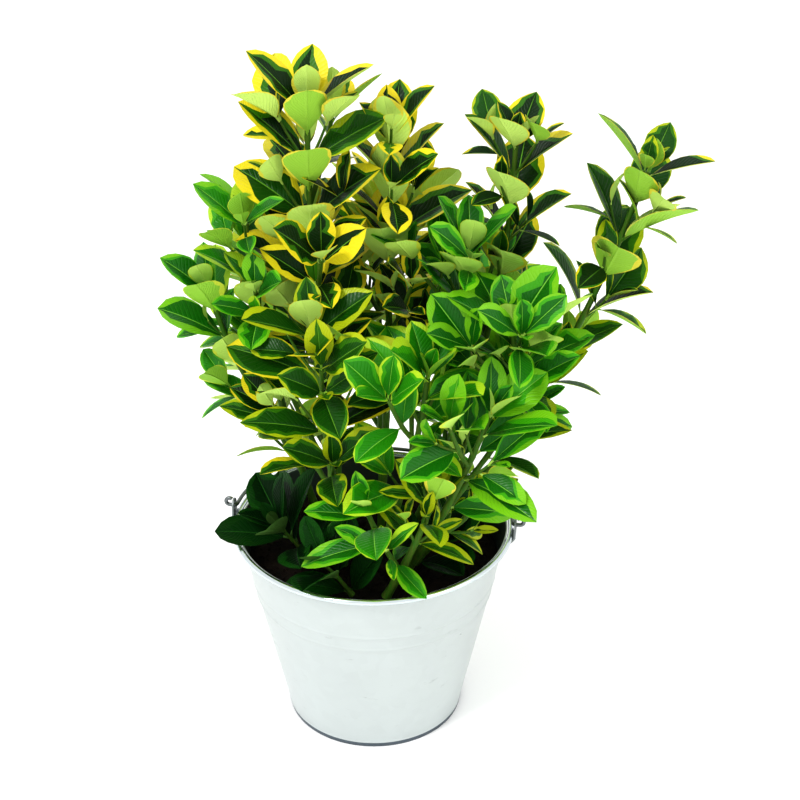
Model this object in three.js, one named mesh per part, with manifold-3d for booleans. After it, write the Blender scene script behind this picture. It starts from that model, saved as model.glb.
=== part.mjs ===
import * as THREE from "three";
import { mergeVertices } from "three/addons/utils/BufferGeometryUtils.js";
import Module from "manifold-3d";

// A variegated evergreen euonymus in a galvanised bucket with a wire bail.
// Millimetres, +Z up, the origin at the centre of the bucket's flat underside.
// The viewer of the plant's front stands at -Y, and +X is to the right.

const wasm = await Module();
wasm.setup();

// Driving dimensions of the bucket
const BUCKET_HEIGHT = 130;
const RIM_RADIUS = 85;
const FOOT_RADIUS = 54;
const SHEET = 0.8;
const BEAD_RADIUS = 1.75;
const HEM_HEIGHT = 3.6;
const HEM_STEP = 0.5;
const BUCKET_SIDES = 40;
const BEAD_STEPS = 5;

// Driving dimensions of the soil
const SOIL_TOP = 110;
const SOIL_EDGE = 0.4;
const CLEAR = 0.3;
const SOIL_GAP = 0.5;

// Driving dimensions of the bail and of its two ears
const EAR_TURN = -7.8;
const HINGE_HEIGHT = 133.7;
const BAIL_RADIUS = 84.3;
const WIRE_RADIUS = 1.25;
const WIRE_SIDES = 6;
const CURL_RADIUS = 2.3;
const CURL_START = 88.6;
const BAIL_BEND = 2.2;
const BAIL_LIFT = 30;
const EAR_SHEET = 1.0;
const EAR_WIDTH = 13;
const EAR_EYE = 4.4;
const EAR_HOLE = 2.5;
const EAR_FACE = 85.5;
const EAR_FOOT = 112;
const EAR_KNEE = 127.2;

// Driving dimensions of stems and leaves
const STEM_SIDES = 5;
const TWIG_SIDES = 4;
const STEM_STEP = 20;
const TWIG_STEP = 26;
const STEM_TIP_RADIUS = 1.4;
const FLARE_HEIGHT = 5;
const FLARE = 1.35;
const LEAF_WIDTH = 0.63;
const LEAF_THICKNESS = 0.9;
const PETIOLE_HALF_WIDTH = 0.3;
const PETIOLE_DEPTH = 0.7;
const ROOT_START = 0.25;
const LEAF_CLEARANCE = 0.95;
const LIMB_CLEARANCE = 0.9;

// Colours of the flat-shaded solids
const ZINC = { color: 0xdfe5e6, roughness: 0.35, metalness: 0.85 };
const WIRE = { color: 0x8d9393, roughness: 0.4, metalness: 0.9 };
const EARTH = { color: 0x231a14, roughness: 1, metalness: 0 };
const BARK = { color: 0x5f7f38, roughness: 0.7, metalness: 0 };
const TONES = {
  gold: { color: 0x2f6d1f, roughness: 0.45, metalness: 0 },
  lime: { color: 0x55a321, roughness: 0.45, metalness: 0 },
  plain: { color: 0x1d4f22, roughness: 0.5, metalness: 0 },
};

// The leafy shoots. A shoot rises from the soil at foot, or leaves another one's bare stem at
// the share called at. Its path is one arc drawn by foot, bend and tip. The share called bare
// carries no leaves. turn is the bearing of the first pair, and spread is how far the leaves
// open from the stem, in degrees, at the first pair and at the last. closing is the share by
// which the leaves that face the viewer stand closer to the stem, so that their undersides show.
const SHOOTS = [
  { name: "crest", foot: [-14, 6], bend: [-35, -4, 255], tip: [-32, -5, 388], bare: 0.3,
    pairs: 10, leaf: 52, turn: 90, spread: [62, 50], closing: 0.4, tone: "gold", twigs: 3,
    seed: 11 },
  { name: "second", foot: [4, 14], bend: [12, 12, 250], tip: [11, 8, 368], bare: 0.26,
    pairs: 10, leaf: 52, turn: 90, spread: [72, 34], closing: 0.4, tone: "gold", twigs: 4,
    seed: 12 },
  { name: "third", foot: [20, 10], bend: [77, 8, 235], tip: [79, 8, 364], bare: 0.42,
    pairs: 7, leaf: 45, turn: 65, spread: [36, 40], tone: "gold", twigs: 1, seed: 13 },
  { name: "right", foot: [32, 2], bend: [110, 12, 205], tip: [152, 12, 347], bare: 0.5,
    pairs: 6, leaf: 50, turn: 70, spread: [34, 52], tone: "gold", seed: 14 },
  { name: "left", foot: [-28, 6], bend: [-62, 4, 225], tip: [-68, 0, 322], bare: 0.4,
    pairs: 6, leaf: 45, turn: 90, spread: [36, 50], tone: "lime", twigs: 2, seed: 15 },
  { name: "centre_left", foot: [-18, -18], bend: [-24, -38, 205], tip: [-31, -42, 276], bare: 0.34,
    pairs: 6, leaf: 56, turn: 90, spread: [76, 58], tone: "gold", twigs: 2, seed: 16 },
  { name: "front", foot: [-2, -26], bend: [25, -50, 190], tip: [31, -56, 255], bare: 0.4,
    pairs: 5, leaf: 56, turn: 45, spread: [75, 52], tone: "lime", twigs: 2, seed: 17 },
  { name: "front_right", foot: [20, -26], bend: [46, -64, 180], tip: [64, -68, 238], bare: 0.42,
    pairs: 5, leaf: 54, turn: 30, spread: [72, 44], tone: "lime", twigs: 2, seed: 18 },
  { name: "low_gold", foot: [8, -52], bend: [26, -58, 150], tip: [35, -60, 182], bare: 0.5,
    pairs: 4, leaf: 42, turn: 0, spread: [70, 38], tone: "gold", seed: 19 },
  { name: "mid_right", from: "right", at: 0.3, bend: [85, -34, 222], tip: [77, -40, 276], bare: 0.25,
    pairs: 5, leaf: 54, turn: 10, spread: [75, 44], tone: "lime", twigs: 2, seed: 20 },
  { name: "far_left", from: "left", at: 0.3, bend: [-78, -8, 232], tip: [-89, -8, 286], bare: 0.25,
    pairs: 5, leaf: 44, turn: 0, spread: [36, 32], tone: "lime", seed: 21 },
  { name: "mid_top", from: "third", at: 0.38, bend: [50, -8, 262], tip: [54, -10, 308], bare: 0,
    pairs: 5, leaf: 50, turn: 0, spread: [70, 38], tone: "lime", twigs: 2, seed: 22 },
  { name: "low_left", from: "centre_left", at: 0.3, bend: [-42, -28, 206], tip: [-54, -30, 224],
    bare: 0.2, pairs: 5, leaf: 41, turn: 30, spread: [56, 36], tone: "gold", seed: 23 },
  { name: "low_front", from: "low_gold", at: 0.25, bend: [6, -58, 148], tip: [-2, -64, 176], bare: 0,
    pairs: 4, leaf: 46, turn: 90, spread: [98, 66], tone: "lime", seed: 24 },
  { name: "out_right", from: "right", at: 0.4, bend: [96, -12, 222], tip: [92, -18, 238], bare: 0.2,
    pairs: 4, leaf: 42, turn: 0, spread: [60, 40], tone: "gold", seed: 25 },
  { name: "low_right", from: "front_right", at: 0.36, bend: [66, -44, 203], tip: [76, -44, 216],
    bare: 0.2, pairs: 4, leaf: 44, turn: 0, spread: [60, 40], tone: "gold", seed: 26 },
  { name: "rim_right", from: "front_right", at: 0.25, bend: [54, -42, 152], tip: [58, -40, 166],
    bare: 0.2, pairs: 3, leaf: 35, turn: 0, spread: [62, 44], tone: "gold", seed: 27 },
  { name: "behind_right", from: "right", at: 0.46, bend: [108, 20, 226], tip: [118, 26, 238], bare: 0,
    pairs: 3, leaf: 38, turn: 0, spread: [66, 40], tone: "gold", seed: 28 },
  { name: "back_left", foot: [-18, 30], bend: [-45, 60, 210], tip: [-56, 70, 282], bare: 0.28,
    pairs: 8, leaf: 54, turn: 30, spread: [74, 42], tone: "gold", twigs: 2, seed: 29 },
  { name: "back_centre", foot: [6, 36], bend: [2, 68, 230], tip: [4, 76, 304], bare: 0.28,
    pairs: 9, leaf: 54, turn: 60, spread: [74, 42], tone: "gold", twigs: 3, seed: 30 },
  { name: "back_right", foot: [32, 28], bend: [60, 60, 196], tip: [68, 68, 246], bare: 0.28,
    pairs: 6, leaf: 54, turn: 24, spread: [74, 44], tone: "lime", twigs: 2, seed: 31 },
  { name: "low_back_left", from: "back_left", at: 0.24, bend: [-50, 58, 184], tip: [-66, 64, 216],
    bare: 0.2, pairs: 5, leaf: 44, turn: 0, spread: [72, 42], tone: "lime", seed: 32 },
  { name: "low_back", from: "back_centre", at: 0.24, bend: [-16, 84, 180], tip: [-24, 104, 218],
    bare: 0.2, pairs: 5, leaf: 52, turn: 40, spread: [74, 44], tone: "gold", seed: 33 },
  { name: "low_back_right", from: "back_right", at: 0.24, bend: [44, 66, 198], tip: [52, 98, 212],
    bare: 0.2, pairs: 5, leaf: 50, turn: 10, spread: [74, 44], tone: "gold", seed: 34 },
  { name: "side_right", from: "back_right", at: 0.2, bend: [78, 42, 174], tip: [84, 46, 204],
    bare: 0.3, pairs: 5, leaf: 42, turn: 40, spread: [70, 42], tone: "lime", seed: 35 },
  { name: "side_left", from: "left", at: 0.22, bend: [-60, 34, 170], tip: [-68, 42, 206], bare: 0.2,
    pairs: 5, leaf: 42, turn: 20, spread: [70, 42], tone: "gold", seed: 36 },
  { name: "basal_left", foot: [-38, -12], bend: [-44, -16, 120], tip: [-54, -16, 134], bare: 0,
    pairs: 4, leaf: 54, turn: 10, spread: [62, 46], tone: "plain", seed: 37 },
  { name: "basal_front", foot: [-12, -50], bend: [-18, -52, 122], tip: [-26, -53, 132], bare: 0,
    pairs: 3, leaf: 48, turn: 0, spread: [62, 48], tone: "plain", seed: 38 },
  { name: "basal_right", foot: [26, -18], bend: [32, -22, 122], tip: [38, -28, 132], bare: 0,
    pairs: 3, leaf: 46, turn: -45, spread: [62, 48], tone: "plain", seed: 39 },
];

// The rule by which every shoot grows, and the short twigs in its axils
const TWIG_PAIRS = 2;
const TWIG_LENGTH = 0.9;
const TWIG_OUT = 0.85;
const TWIG_RISE = 0.3;
const TWIG_LEAF = 0.84;
const TWIG_OPENING = 50;
const TWIG_TURN = 137.5;
const TWIG_LOW = 0.08;
const TWIG_HIGH = 0.72;
const TWIG_FOOT_RADIUS = 1.5;
const TWIG_TIP_RADIUS = 1.1;
const TWIG_FIRST = 0.5;
const TWIG_SPREAD = [60, 38];
const STEM_FOOT_RADIUS = 2.6;
const BOUGH_FOOT_RADIUS = 1.7;
const FIRST_PAIR = 0.07;
const LAST_PAIR_BACK = 3;
const LEAF_SIZE_LOW = 0.84;
const INTERNODE_POWER = 0.76;
const LIGHT_BACK = 28;
const TURN_JITTER = 12;
const OPEN_JITTER = 8;
const ROLL_JITTER = 14;
const SIZE_JITTER = 0.09;
const LIFT = 0.22;
const FACE_UP = 0.5;
const FACE_SIDE = 0.35;
const FACE_FRONT = 0.6;
const CROWN_REACH = 60;
const BEND_LOW = 34;
const BEND_HIGH = 12;
const FOLD = 16;
const TRIES = [
  { turn: 0, open: 0, size: 1 },
  { turn: 15, open: 0, size: 1 },
  { turn: -15, open: 0, size: 1 },
  { turn: 0, open: -14, size: 0.95 },
  { turn: 0, open: 12, size: 0.95 },
  { turn: 28, open: 4, size: 0.88 },
  { turn: -28, open: 4, size: 0.88 },
  { turn: 10, open: -10, size: 0.74 },
  { turn: -10, open: 8, size: 0.66 },
];

const UP = new THREE.Vector3(0, 0, 1);
const RIGHT = new THREE.Vector3(1, 0, 0);
const radians = THREE.MathUtils.degToRad;
const lerp = THREE.MathUtils.lerp;

// A repeatable row of numbers from 0 to 1.
function randomFrom(seed) {
  let state = seed * 7919;
  return () => {
    state = (state + 0x6d2b79f5) | 0;
    let t = Math.imul(state ^ (state >>> 15), 1 | state);
    t = (t + Math.imul(t ^ (t >>> 7), 61 | t)) ^ t;
    return ((t ^ (t >>> 14)) >>> 0) / 4294967296;
  };
}

function solidOf(geometry) {
  const bare = geometry.clone();
  bare.deleteAttribute("normal");
  bare.deleteAttribute("uv");
  const merged = mergeVertices(bare, 1e-4);
  return new wasm.Manifold(
    new wasm.Mesh({
      numProp: 3,
      vertProperties: merged.attributes.position.array,
      triVerts: new Uint32Array(merged.index.array),
    }),
  );
}

function geometryOf(solid) {
  const mesh = solid.getMesh();
  const positions = new Float32Array(mesh.numVert * 3);
  for (let i = 0; i < mesh.numVert; i++) {
    const first = i * mesh.numProp;
    positions.set(mesh.vertProperties.subarray(first, first + 3), i * 3);
  }
  const geometry = new THREE.BufferGeometry();
  geometry.setAttribute("position", new THREE.BufferAttribute(positions, 3));
  geometry.setIndex(new THREE.BufferAttribute(new Uint32Array(mesh.triVerts), 1));
  geometry.computeVertexNormals();
  return geometry;
}

// The largest body of a solid, with any sealed hollow in it filled.
function wholeBody(solid) {
  const bodies = solid.decompose();
  bodies.sort((a, b) => b.volume() - a.volume());
  return bodies[0];
}

function meshOf(name, geometry, look) {
  const mesh = new THREE.Mesh(geometry, new THREE.MeshStandardMaterial(look));
  mesh.name = name;
  return mesh;
}

// Bucket

// The outer radius of the bucket's wall at a height.
function wallRadius(z) {
  const top = RIM_RADIUS - 2 * BEAD_RADIUS;
  return lerp(FOOT_RADIUS, top, z / BUCKET_HEIGHT);
}

function bucketGeometry() {
  const profile = [];
  const at = (r, z) => profile.push(new THREE.Vector2(r, z));
  at(0, 0);
  at(FOOT_RADIUS - 0.6, 0);
  at(FOOT_RADIUS + HEM_STEP, 0.7);
  at(FOOT_RADIUS + HEM_STEP, HEM_HEIGHT - 0.6);
  at(wallRadius(HEM_HEIGHT), HEM_HEIGHT);
  const beadR = RIM_RADIUS - BEAD_RADIUS;
  const beadZ = BUCKET_HEIGHT - BEAD_RADIUS;
  at(wallRadius(beadZ - 1.2), beadZ - 1.2);
  for (let i = 0; i <= BEAD_STEPS; i++) {
    const a = lerp(radians(-160), radians(165), i / BEAD_STEPS);
    at(beadR + BEAD_RADIUS * Math.cos(a), beadZ + BEAD_RADIUS * Math.sin(a));
  }
  at(wallRadius(beadZ - 2) - SHEET, beadZ - 2);
  at(wallRadius(1.5) - SHEET, 1.5);
  at(FOOT_RADIUS - SHEET - 1.2, SHEET);
  at(0, SHEET);
  return new THREE.LatheGeometry(profile, BUCKET_SIDES).rotateX(Math.PI / 2);
}

function soilGeometry() {
  const low = SHEET + CLEAR;
  const inner = (z) => wallRadius(z) - SHEET - SOIL_GAP;
  const profile = [
    new THREE.Vector2(0, low),
    new THREE.Vector2(FOOT_RADIUS - SHEET - 1.2 - SOIL_GAP, low),
    new THREE.Vector2(inner(2.4), 2.4),
    new THREE.Vector2(inner(SOIL_TOP - 1.5), SOIL_TOP - 1.5),
    new THREE.Vector2(inner(SOIL_TOP) - 3, SOIL_TOP - SOIL_EDGE),
    new THREE.Vector2(FOOT_RADIUS + 4, SOIL_TOP),
    new THREE.Vector2(0, SOIL_TOP),
  ];
  return new THREE.LatheGeometry(profile, BUCKET_SIDES).rotateX(Math.PI / 2);
}

// Ears and bail, drawn with the hinge axis along X and turned at the end

function earGeometry() {
  const wall = (z) => wallRadius(z) + CLEAR + 0.2;
  const top = HINGE_HEIGHT + EAR_EYE;
  const side = new THREE.Shape();
  side.moveTo(wall(EAR_FOOT), EAR_FOOT);
  side.lineTo(wall(EAR_FOOT + 8) + 0.1, EAR_FOOT + 8);
  side.lineTo(EAR_FACE, EAR_KNEE);
  side.lineTo(EAR_FACE, top);
  side.lineTo(EAR_FACE + EAR_SHEET, top);
  side.lineTo(EAR_FACE + EAR_SHEET, EAR_KNEE - 0.2);
  side.lineTo(wall(EAR_FOOT + 8) + EAR_SHEET + 0.2, EAR_FOOT + 8 - 0.2);
  side.lineTo(wall(EAR_FOOT) + EAR_SHEET, EAR_FOOT);
  side.closePath();
  const strip = new THREE.ExtrudeGeometry(side, { depth: EAR_WIDTH, bevelEnabled: false });
  strip.translate(0, 0, -EAR_WIDTH / 2);
  strip.rotateX(Math.PI / 2);
  const face = new THREE.Shape();
  const lower = 2.4;
  face.absarc(0, HINGE_HEIGHT, EAR_EYE, radians(-12), radians(192), false);
  face.lineTo(-EAR_WIDTH / 2 + 0.6, EAR_KNEE - 2);
  face.absarc(0, EAR_FOOT + lower + 0.6, lower, radians(205), radians(335), false);
  face.lineTo(EAR_WIDTH / 2 - 0.6, EAR_KNEE - 2);
  face.closePath();
  const hole = new THREE.Path();
  hole.absarc(0, HINGE_HEIGHT, EAR_HOLE, 0, 2 * Math.PI, true);
  face.holes.push(hole);
  const cutter = new THREE.ExtrudeGeometry(face, {
    depth: 2 * RIM_RADIUS,
    bevelEnabled: false,
    curveSegments: 7,
  });
  cutter.rotateX(Math.PI / 2);
  cutter.rotateZ(Math.PI / 2);
  return geometryOf(wholeBody(solidOf(strip).intersect(solidOf(cutter))));
}

// One half of the bail's centre line, from the end of the curl to the middle of the back.
function bailHalf() {
  const drop = BUCKET_HEIGHT + WIRE_RADIUS + CLEAR - HINGE_HEIGHT;
  const lean = Math.asin(drop / BAIL_RADIUS);
  const points = [];
  for (let i = 0; i <= 6; i++) {
    const a = lerp(radians(130), radians(-90), i / 6);
    points.push([CURL_START + CURL_RADIUS * Math.cos(a), 0, CURL_RADIUS * (1 + Math.sin(a))]);
  }
  const corner = BAIL_RADIUS + BAIL_BEND;
  for (let i = 0; i <= 3; i++) {
    const a = lerp(radians(270), radians(182), i / 3);
    points.push([corner + BAIL_BEND * Math.cos(a), BAIL_BEND * (1 + Math.sin(a)), 0]);
  }
  for (let a = 9; a < 90; a += 9) {
    points.push([BAIL_RADIUS * Math.cos(radians(a)), BAIL_RADIUS * Math.sin(radians(a)), 0]);
  }
  return points.map(([x, y, z]) => {
    const back = y * Math.cos(lean);
    return new THREE.Vector3(x, back, HINGE_HEIGHT + z + y * Math.sin(lean));
  });
}

function bailGeometry() {
  const half = bailHalf();
  const drop = BUCKET_HEIGHT + WIRE_RADIUS + CLEAR;
  const middle = new THREE.Vector3(0, Math.sqrt(BAIL_RADIUS ** 2 - (HINGE_HEIGHT - drop) ** 2), drop);
  const other = half.map((p) => new THREE.Vector3(-p.x, p.y, p.z)).reverse();
  return tubeAlong([...half, middle, ...other], () => WIRE_RADIUS, WIRE_SIDES);
}

// Limbs

// The sideways direction nearest to +X at right angles to a stem.
function levelAcross(along) {
  return RIGHT.clone().addScaledVector(along, -along.x).normalize();
}

// A closed tube along points, its radius given by the share of the way along. With a turn, in
// degrees from levelAcross, its flats face the four ways in which leaf pairs stand. A flat tube
// starts on a level cut.
function tubeAlong(points, radiusAt, sides, turn = null, flat = false) {
  const count = points.length;
  const positions = [];
  const index = [];
  let across = null;
  for (let i = 0; i < count; i++) {
    const ahead = points[Math.min(i + 1, count - 1)].clone();
    const along = ahead.sub(points[Math.max(i - 1, 0)]).normalize();
    const reference = across ?? (Math.abs(along.x) > 0.9 ? UP : RIGHT);
    across = reference.clone().addScaledVector(along, -reference.dot(along)).normalize();
    if (turn !== null) across = levelAcross(along);
    const third = along.clone().cross(across);
    const radius = radiusAt(i / (count - 1));
    for (let k = 0; k < sides; k++) {
      const a = (2 * Math.PI * (k + 0.5)) / sides + radians(turn ?? 0);
      const p = points[i].clone();
      p.addScaledVector(across, radius * Math.cos(a));
      p.addScaledVector(third, radius * Math.sin(a));
      if (flat && i === 0) p.addScaledVector(along, (points[0].z - p.z) / along.z);
      positions.push(p.x, p.y, p.z);
    }
  }
  for (let i = 0; i + 1 < count; i++) {
    for (let k = 0; k < sides; k++) {
      const a = i * sides + k;
      const b = i * sides + ((k + 1) % sides);
      index.push(a, b, b + sides, a, b + sides, a + sides);
    }
  }
  for (let k = 1; k + 1 < sides; k++) {
    const last = (count - 1) * sides;
    index.push(0, k + 1, k, last, last + k, last + k + 1);
  }
  const geometry = new THREE.BufferGeometry();
  geometry.setAttribute("position", new THREE.Float32BufferAttribute(positions, 3));
  geometry.setIndex(index);
  geometry.computeVertexNormals();
  return geometry;
}

const byName = new Map(SHOOTS.map((shoot) => [shoot.name, shoot]));

function footOf(shoot) {
  if (!shoot.from) return new THREE.Vector3(shoot.foot[0], shoot.foot[1], SOIL_TOP + CLEAR);
  return pathOf(byName.get(shoot.from)).getPoint(shoot.at);
}

function pathOf(shoot) {
  const bend = new THREE.Vector3(...shoot.bend);
  const tip = new THREE.Vector3(...shoot.tip);
  return new THREE.QuadraticBezierCurve3(footOf(shoot), bend, tip);
}

// The radius of a shoot's stem at a share of its path.
function stemRadius(shoot, t) {
  const foot = shoot.from ? BOUGH_FOOT_RADIUS : STEM_FOOT_RADIUS;
  return lerp(foot, STEM_TIP_RADIUS, Math.pow(t, 0.8));
}

// The share of a side shoot's path at which its flat foot stands clear of the stem it leaves.
function clearStart(shoot) {
  if (!shoot.from) return 0;
  const parent = byName.get(shoot.from);
  const stem = pathOf(parent).getTangent(shoot.at);
  const path = pathOf(shoot);
  const way = path.getTangent(0);
  const slant = Math.max(stem.clone().cross(way).length(), 0.35);
  const own = stemRadius(shoot, 0);
  const reach = (stemRadius(parent, shoot.at) + CLEAR + own * Math.abs(stem.dot(way))) / slant;
  return reach / path.v0.distanceTo(path.v1) / 2;
}

function stretch(shoot, from, to, step) {
  const path = pathOf(shoot);
  const count = Math.max(2, Math.round((path.getLength() * (to - from)) / step));
  const points = [];
  for (let i = 0; i <= count; i++) points.push(path.getPoint(lerp(from, to, i / count)));
  return points;
}

// The share at which the leafy part begins, just past the end of the bare stem.
function leafyStart(shoot) {
  if (shoot.bare === 0) return clearStart(shoot);
  return shoot.bare + CLEAR / pathSpeed(pathOf(shoot), shoot.bare);
}

// The length of a path per unit of its share, at a share.
function pathSpeed(path, t) {
  const early = path.v1.clone().sub(path.v0).multiplyScalar(2 * (1 - t));
  const late = path.v2.clone().sub(path.v1).multiplyScalar(2 * t);
  return early.add(late).length();
}

function limbGeometry(shoot) {
  const from = clearStart(shoot);
  const points = stretch(shoot, from, shoot.bare, STEM_STEP);
  const height = points[points.length - 1].z - points[0].z;
  const flare = (share) => {
    if (shoot.from) return 1;
    return 1 + (FLARE - 1) * Math.max(0, 1 - (share * height) / FLARE_HEIGHT);
  };
  if (!shoot.from) points.splice(1, 0, pathOf(shoot).getPoint((shoot.bare * FLARE_HEIGHT) / height));
  const radiusAt = (share) => {
    const t = lerp(from, shoot.bare, share);
    return stemRadius(shoot, t) * flare(share);
  };
  return tubeAlong(points, radiusAt, STEM_SIDES, null, !shoot.from);
}

// Leaves

// The frame of one leaf: where it leaves the stem, its way, its upper side and its measures.
function leafFrame(path, t, bearing, opening, roll, length, bend) {
  const at = path.getPoint(t);
  const stem = path.getTangent(t);
  const level = levelAcross(stem);
  const cross = stem.clone().cross(level);
  const out = level.multiplyScalar(Math.cos(radians(bearing)));
  out.addScaledVector(cross, Math.sin(radians(bearing)));
  const way = stem.clone().multiplyScalar(Math.cos(radians(opening)));
  way.addScaledVector(out, Math.sin(radians(opening)));
  const face = stem.clone().multiplyScalar(Math.sin(radians(opening)));
  face.addScaledVector(out, -Math.cos(radians(opening)));
  way.addScaledVector(UP, LIFT * Math.sin(radians(opening))).normalize();
  face.addScaledVector(UP, FACE_UP);
  const reach = Math.max(CROWN_REACH, Math.hypot(at.x, at.y - LIGHT_BACK));
  face.x += (FACE_SIDE * at.x) / reach;
  face.y += (FACE_FRONT * (at.y - LIGHT_BACK)) / reach;
  face.addScaledVector(way, -face.dot(way)).normalize();
  const side = way.clone().cross(face);
  const turned = face.clone().multiplyScalar(Math.cos(radians(roll)));
  turned.addScaledVector(side, Math.sin(radians(roll)));
  return { at, way, face: turned, side: way.clone().cross(turned), length, bend: radians(bend) };
}

// A point of a leaf at a share of its length, and its upper side there.
function leafSpine(leaf, share) {
  const a = leaf.bend * share;
  const point = leaf.at.clone();
  point.addScaledVector(leaf.way, (leaf.length * Math.sin(a)) / leaf.bend);
  point.addScaledVector(leaf.face, (-leaf.length * (1 - Math.cos(a))) / leaf.bend);
  const face = leaf.face.clone().multiplyScalar(Math.cos(a)).addScaledVector(leaf.way, Math.sin(a));
  return { point, face };
}

const STATIONS = [
  { share: 0.32, half: 0.8 },
  { share: 0.63, half: 1 },
];

// The half width of a leaf at a share of its length, its greatest being 1.
function halfAt(share) {
  const [low, high] = STATIONS;
  if (share < low.share) return (share / low.share) * low.half;
  if (share < high.share) {
    return lerp(low.half, high.half, (share - low.share) / (high.share - low.share));
  }
  return ((1 - share) / (1 - high.share)) * high.half;
}

function leafCorners(leaf) {
  const rows = [];
  for (const { share, half } of STATIONS) {
    const { point, face } = leafSpine(leaf, share);
    const h = (half * LEAF_WIDTH * leaf.length) / 2;
    const row = {};
    for (const [name, sign] of [["left", -1], ["right", 1]]) {
      row[name] = point.clone().addScaledVector(leaf.side, sign * h * Math.cos(radians(FOLD)));
      row[name].addScaledVector(face, h * Math.sin(radians(FOLD)));
    }
    row.under = point.clone().addScaledVector(face, -LEAF_THICKNESS / 2);
    row.mid = point;
    rows.push(row);
  }
  return { rows, tip: leafSpine(leaf, 1).point };
}

function leafGeometry(leaf) {
  const { rows, tip } = leafCorners(leaf);
  const root = leaf.at.clone().addScaledVector(leaf.way, ROOT_START);
  const corners = [
    root.clone().addScaledVector(leaf.side, -PETIOLE_HALF_WIDTH),
    root.clone().addScaledVector(leaf.side, PETIOLE_HALF_WIDTH),
    root.clone().addScaledVector(leaf.face, -PETIOLE_DEPTH),
  ];
  for (const row of rows) corners.push(row.left, row.right, row.under);
  corners.push(tip);
  const index = [0, 2, 1];
  const last = 3 * rows.length;
  for (let row = 0; row < last; row += 3) {
    for (let k = 0; k < 3; k++) {
      const a = row + k;
      const b = row + ((k + 1) % 3);
      index.push(a, b, b + 3, a, b + 3, a + 3);
    }
  }
  for (let k = 0; k < 3; k++) index.push(last + k, last + ((k + 1) % 3), last + 3);
  const geometry = new THREE.BufferGeometry();
  geometry.setAttribute(
    "position",
    new THREE.Float32BufferAttribute(corners.flatMap((p) => [p.x, p.y, p.z]), 3),
  );
  geometry.setIndex(index);
  return geometry;
}

// What a leaf must keep clear of

function triangle(a, b, c) {
  return { a, b, c };
}

// The leaf's middle surface and the flat lid over its fold, as triangles and their edges, moved
// off along its upper side.
function leafSheet(leaf, corners, off) {
  const shift = leaf.face.clone().multiplyScalar(off);
  const move = (p) => p.clone().add(shift);
  const [low, high] = corners.rows.map((row) => ({
    left: move(row.left),
    mid: move(row.mid),
    right: move(row.right),
  }));
  const root = move(leaf.at);
  const tip = move(corners.tip);
  const triangles = [
    triangle(root, low.left, low.mid), triangle(root, low.mid, low.right),
    triangle(low.left, high.left, high.mid), triangle(low.left, high.mid, low.mid),
    triangle(low.mid, high.mid, high.right), triangle(low.mid, high.right, low.right),
    triangle(high.left, tip, high.mid), triangle(high.mid, tip, high.right),
    triangle(root, low.left, low.right), triangle(high.left, tip, high.right),
    triangle(low.left, high.left, high.right), triangle(low.left, high.right, low.right),
  ];
  const edges = [
    [root, low.left], [low.left, high.left], [high.left, tip], [root, low.right],
    [low.right, high.right], [high.right, tip], [root, low.mid], [low.mid, high.mid],
    [high.mid, tip], [low.left, low.mid], [low.mid, low.right], [high.left, high.mid],
    [high.mid, high.right], [low.left, high.mid], [low.mid, high.right],
    [low.left, low.right], [high.left, high.right],
  ];
  return { triangles, edges };
}

const ray = new THREE.Ray();
const hit = new THREE.Vector3();

function pierces([from, to], { a, b, c }) {
  ray.origin.copy(from);
  ray.direction.copy(to).sub(from);
  const length = ray.direction.length();
  ray.direction.divideScalar(length);
  const point = ray.intersectTriangle(a, b, c, false, hit);
  return point !== null && point.distanceTo(from) <= length;
}

function sheetsCross(one, two) {
  return (
    one.edges.some((edge) => two.triangles.some((t) => pierces(edge, t))) ||
    two.edges.some((edge) => one.triangles.some((t) => pierces(edge, t)))
  );
}

function leafBody(leaf) {
  const corners = leafCorners(leaf);
  const middle = leafSpine(leaf, 0.55).point;
  const sheets = [0, LEAF_CLEARANCE, -LEAF_CLEARANCE].map((off) => leafSheet(leaf, corners, off));
  return { leaf, corners, middle, reach: leaf.length * 0.62, sheets };
}

function leavesTouch(one, two) {
  if (one.middle.distanceTo(two.middle) > one.reach + two.reach) return false;
  const [flat, over, under] = one.sheets;
  const [otherFlat, otherOver, otherUnder] = two.sheets;
  return (
    sheetsCross(flat, otherFlat) || sheetsCross(over, otherFlat) || sheetsCross(under, otherFlat) ||
    sheetsCross(flat, otherOver) || sheetsCross(flat, otherUnder)
  );
}

const nearOne = new THREE.Vector3();
const nearTwo = new THREE.Vector3();

// The least distance between two stretches of straight line.
function lineGap([a, b], [c, d]) {
  const u = b.clone().sub(a);
  const v = d.clone().sub(c);
  const w = a.clone().sub(c);
  const uu = u.dot(u);
  const uv = u.dot(v);
  const vv = v.dot(v);
  const uw = u.dot(w);
  const vw = v.dot(w);
  const across = uu * vv - uv * uv;
  let s = across < 1e-9 ? 0 : THREE.MathUtils.clamp((uv * vw - vv * uw) / across, 0, 1);
  const t = THREE.MathUtils.clamp((uv * s + vw) / vv, 0, 1);
  s = THREE.MathUtils.clamp((uv * t - uw) / uu, 0, 1);
  nearOne.copy(a).addScaledVector(u, s);
  nearTwo.copy(c).addScaledVector(v, t);
  return nearOne.distanceTo(nearTwo);
}

function touchesLimb(body, limb) {
  return limb.pieces.some((piece) => {
    if (!nearEnough(body, piece)) return false;
    const [sheet] = body.sheets;
    if (sheet.triangles.some((t) => pierces(piece.line, t))) return true;
    return sheet.edges.some((edge) => lineGap(edge, piece.line) < piece.radius + LIMB_CLEARANCE);
  });
}

function nearEnough(body, piece) {
  return body.middle.distanceTo(piece.line[0]) < body.reach + piece.length + piece.radius + 2;
}

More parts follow.
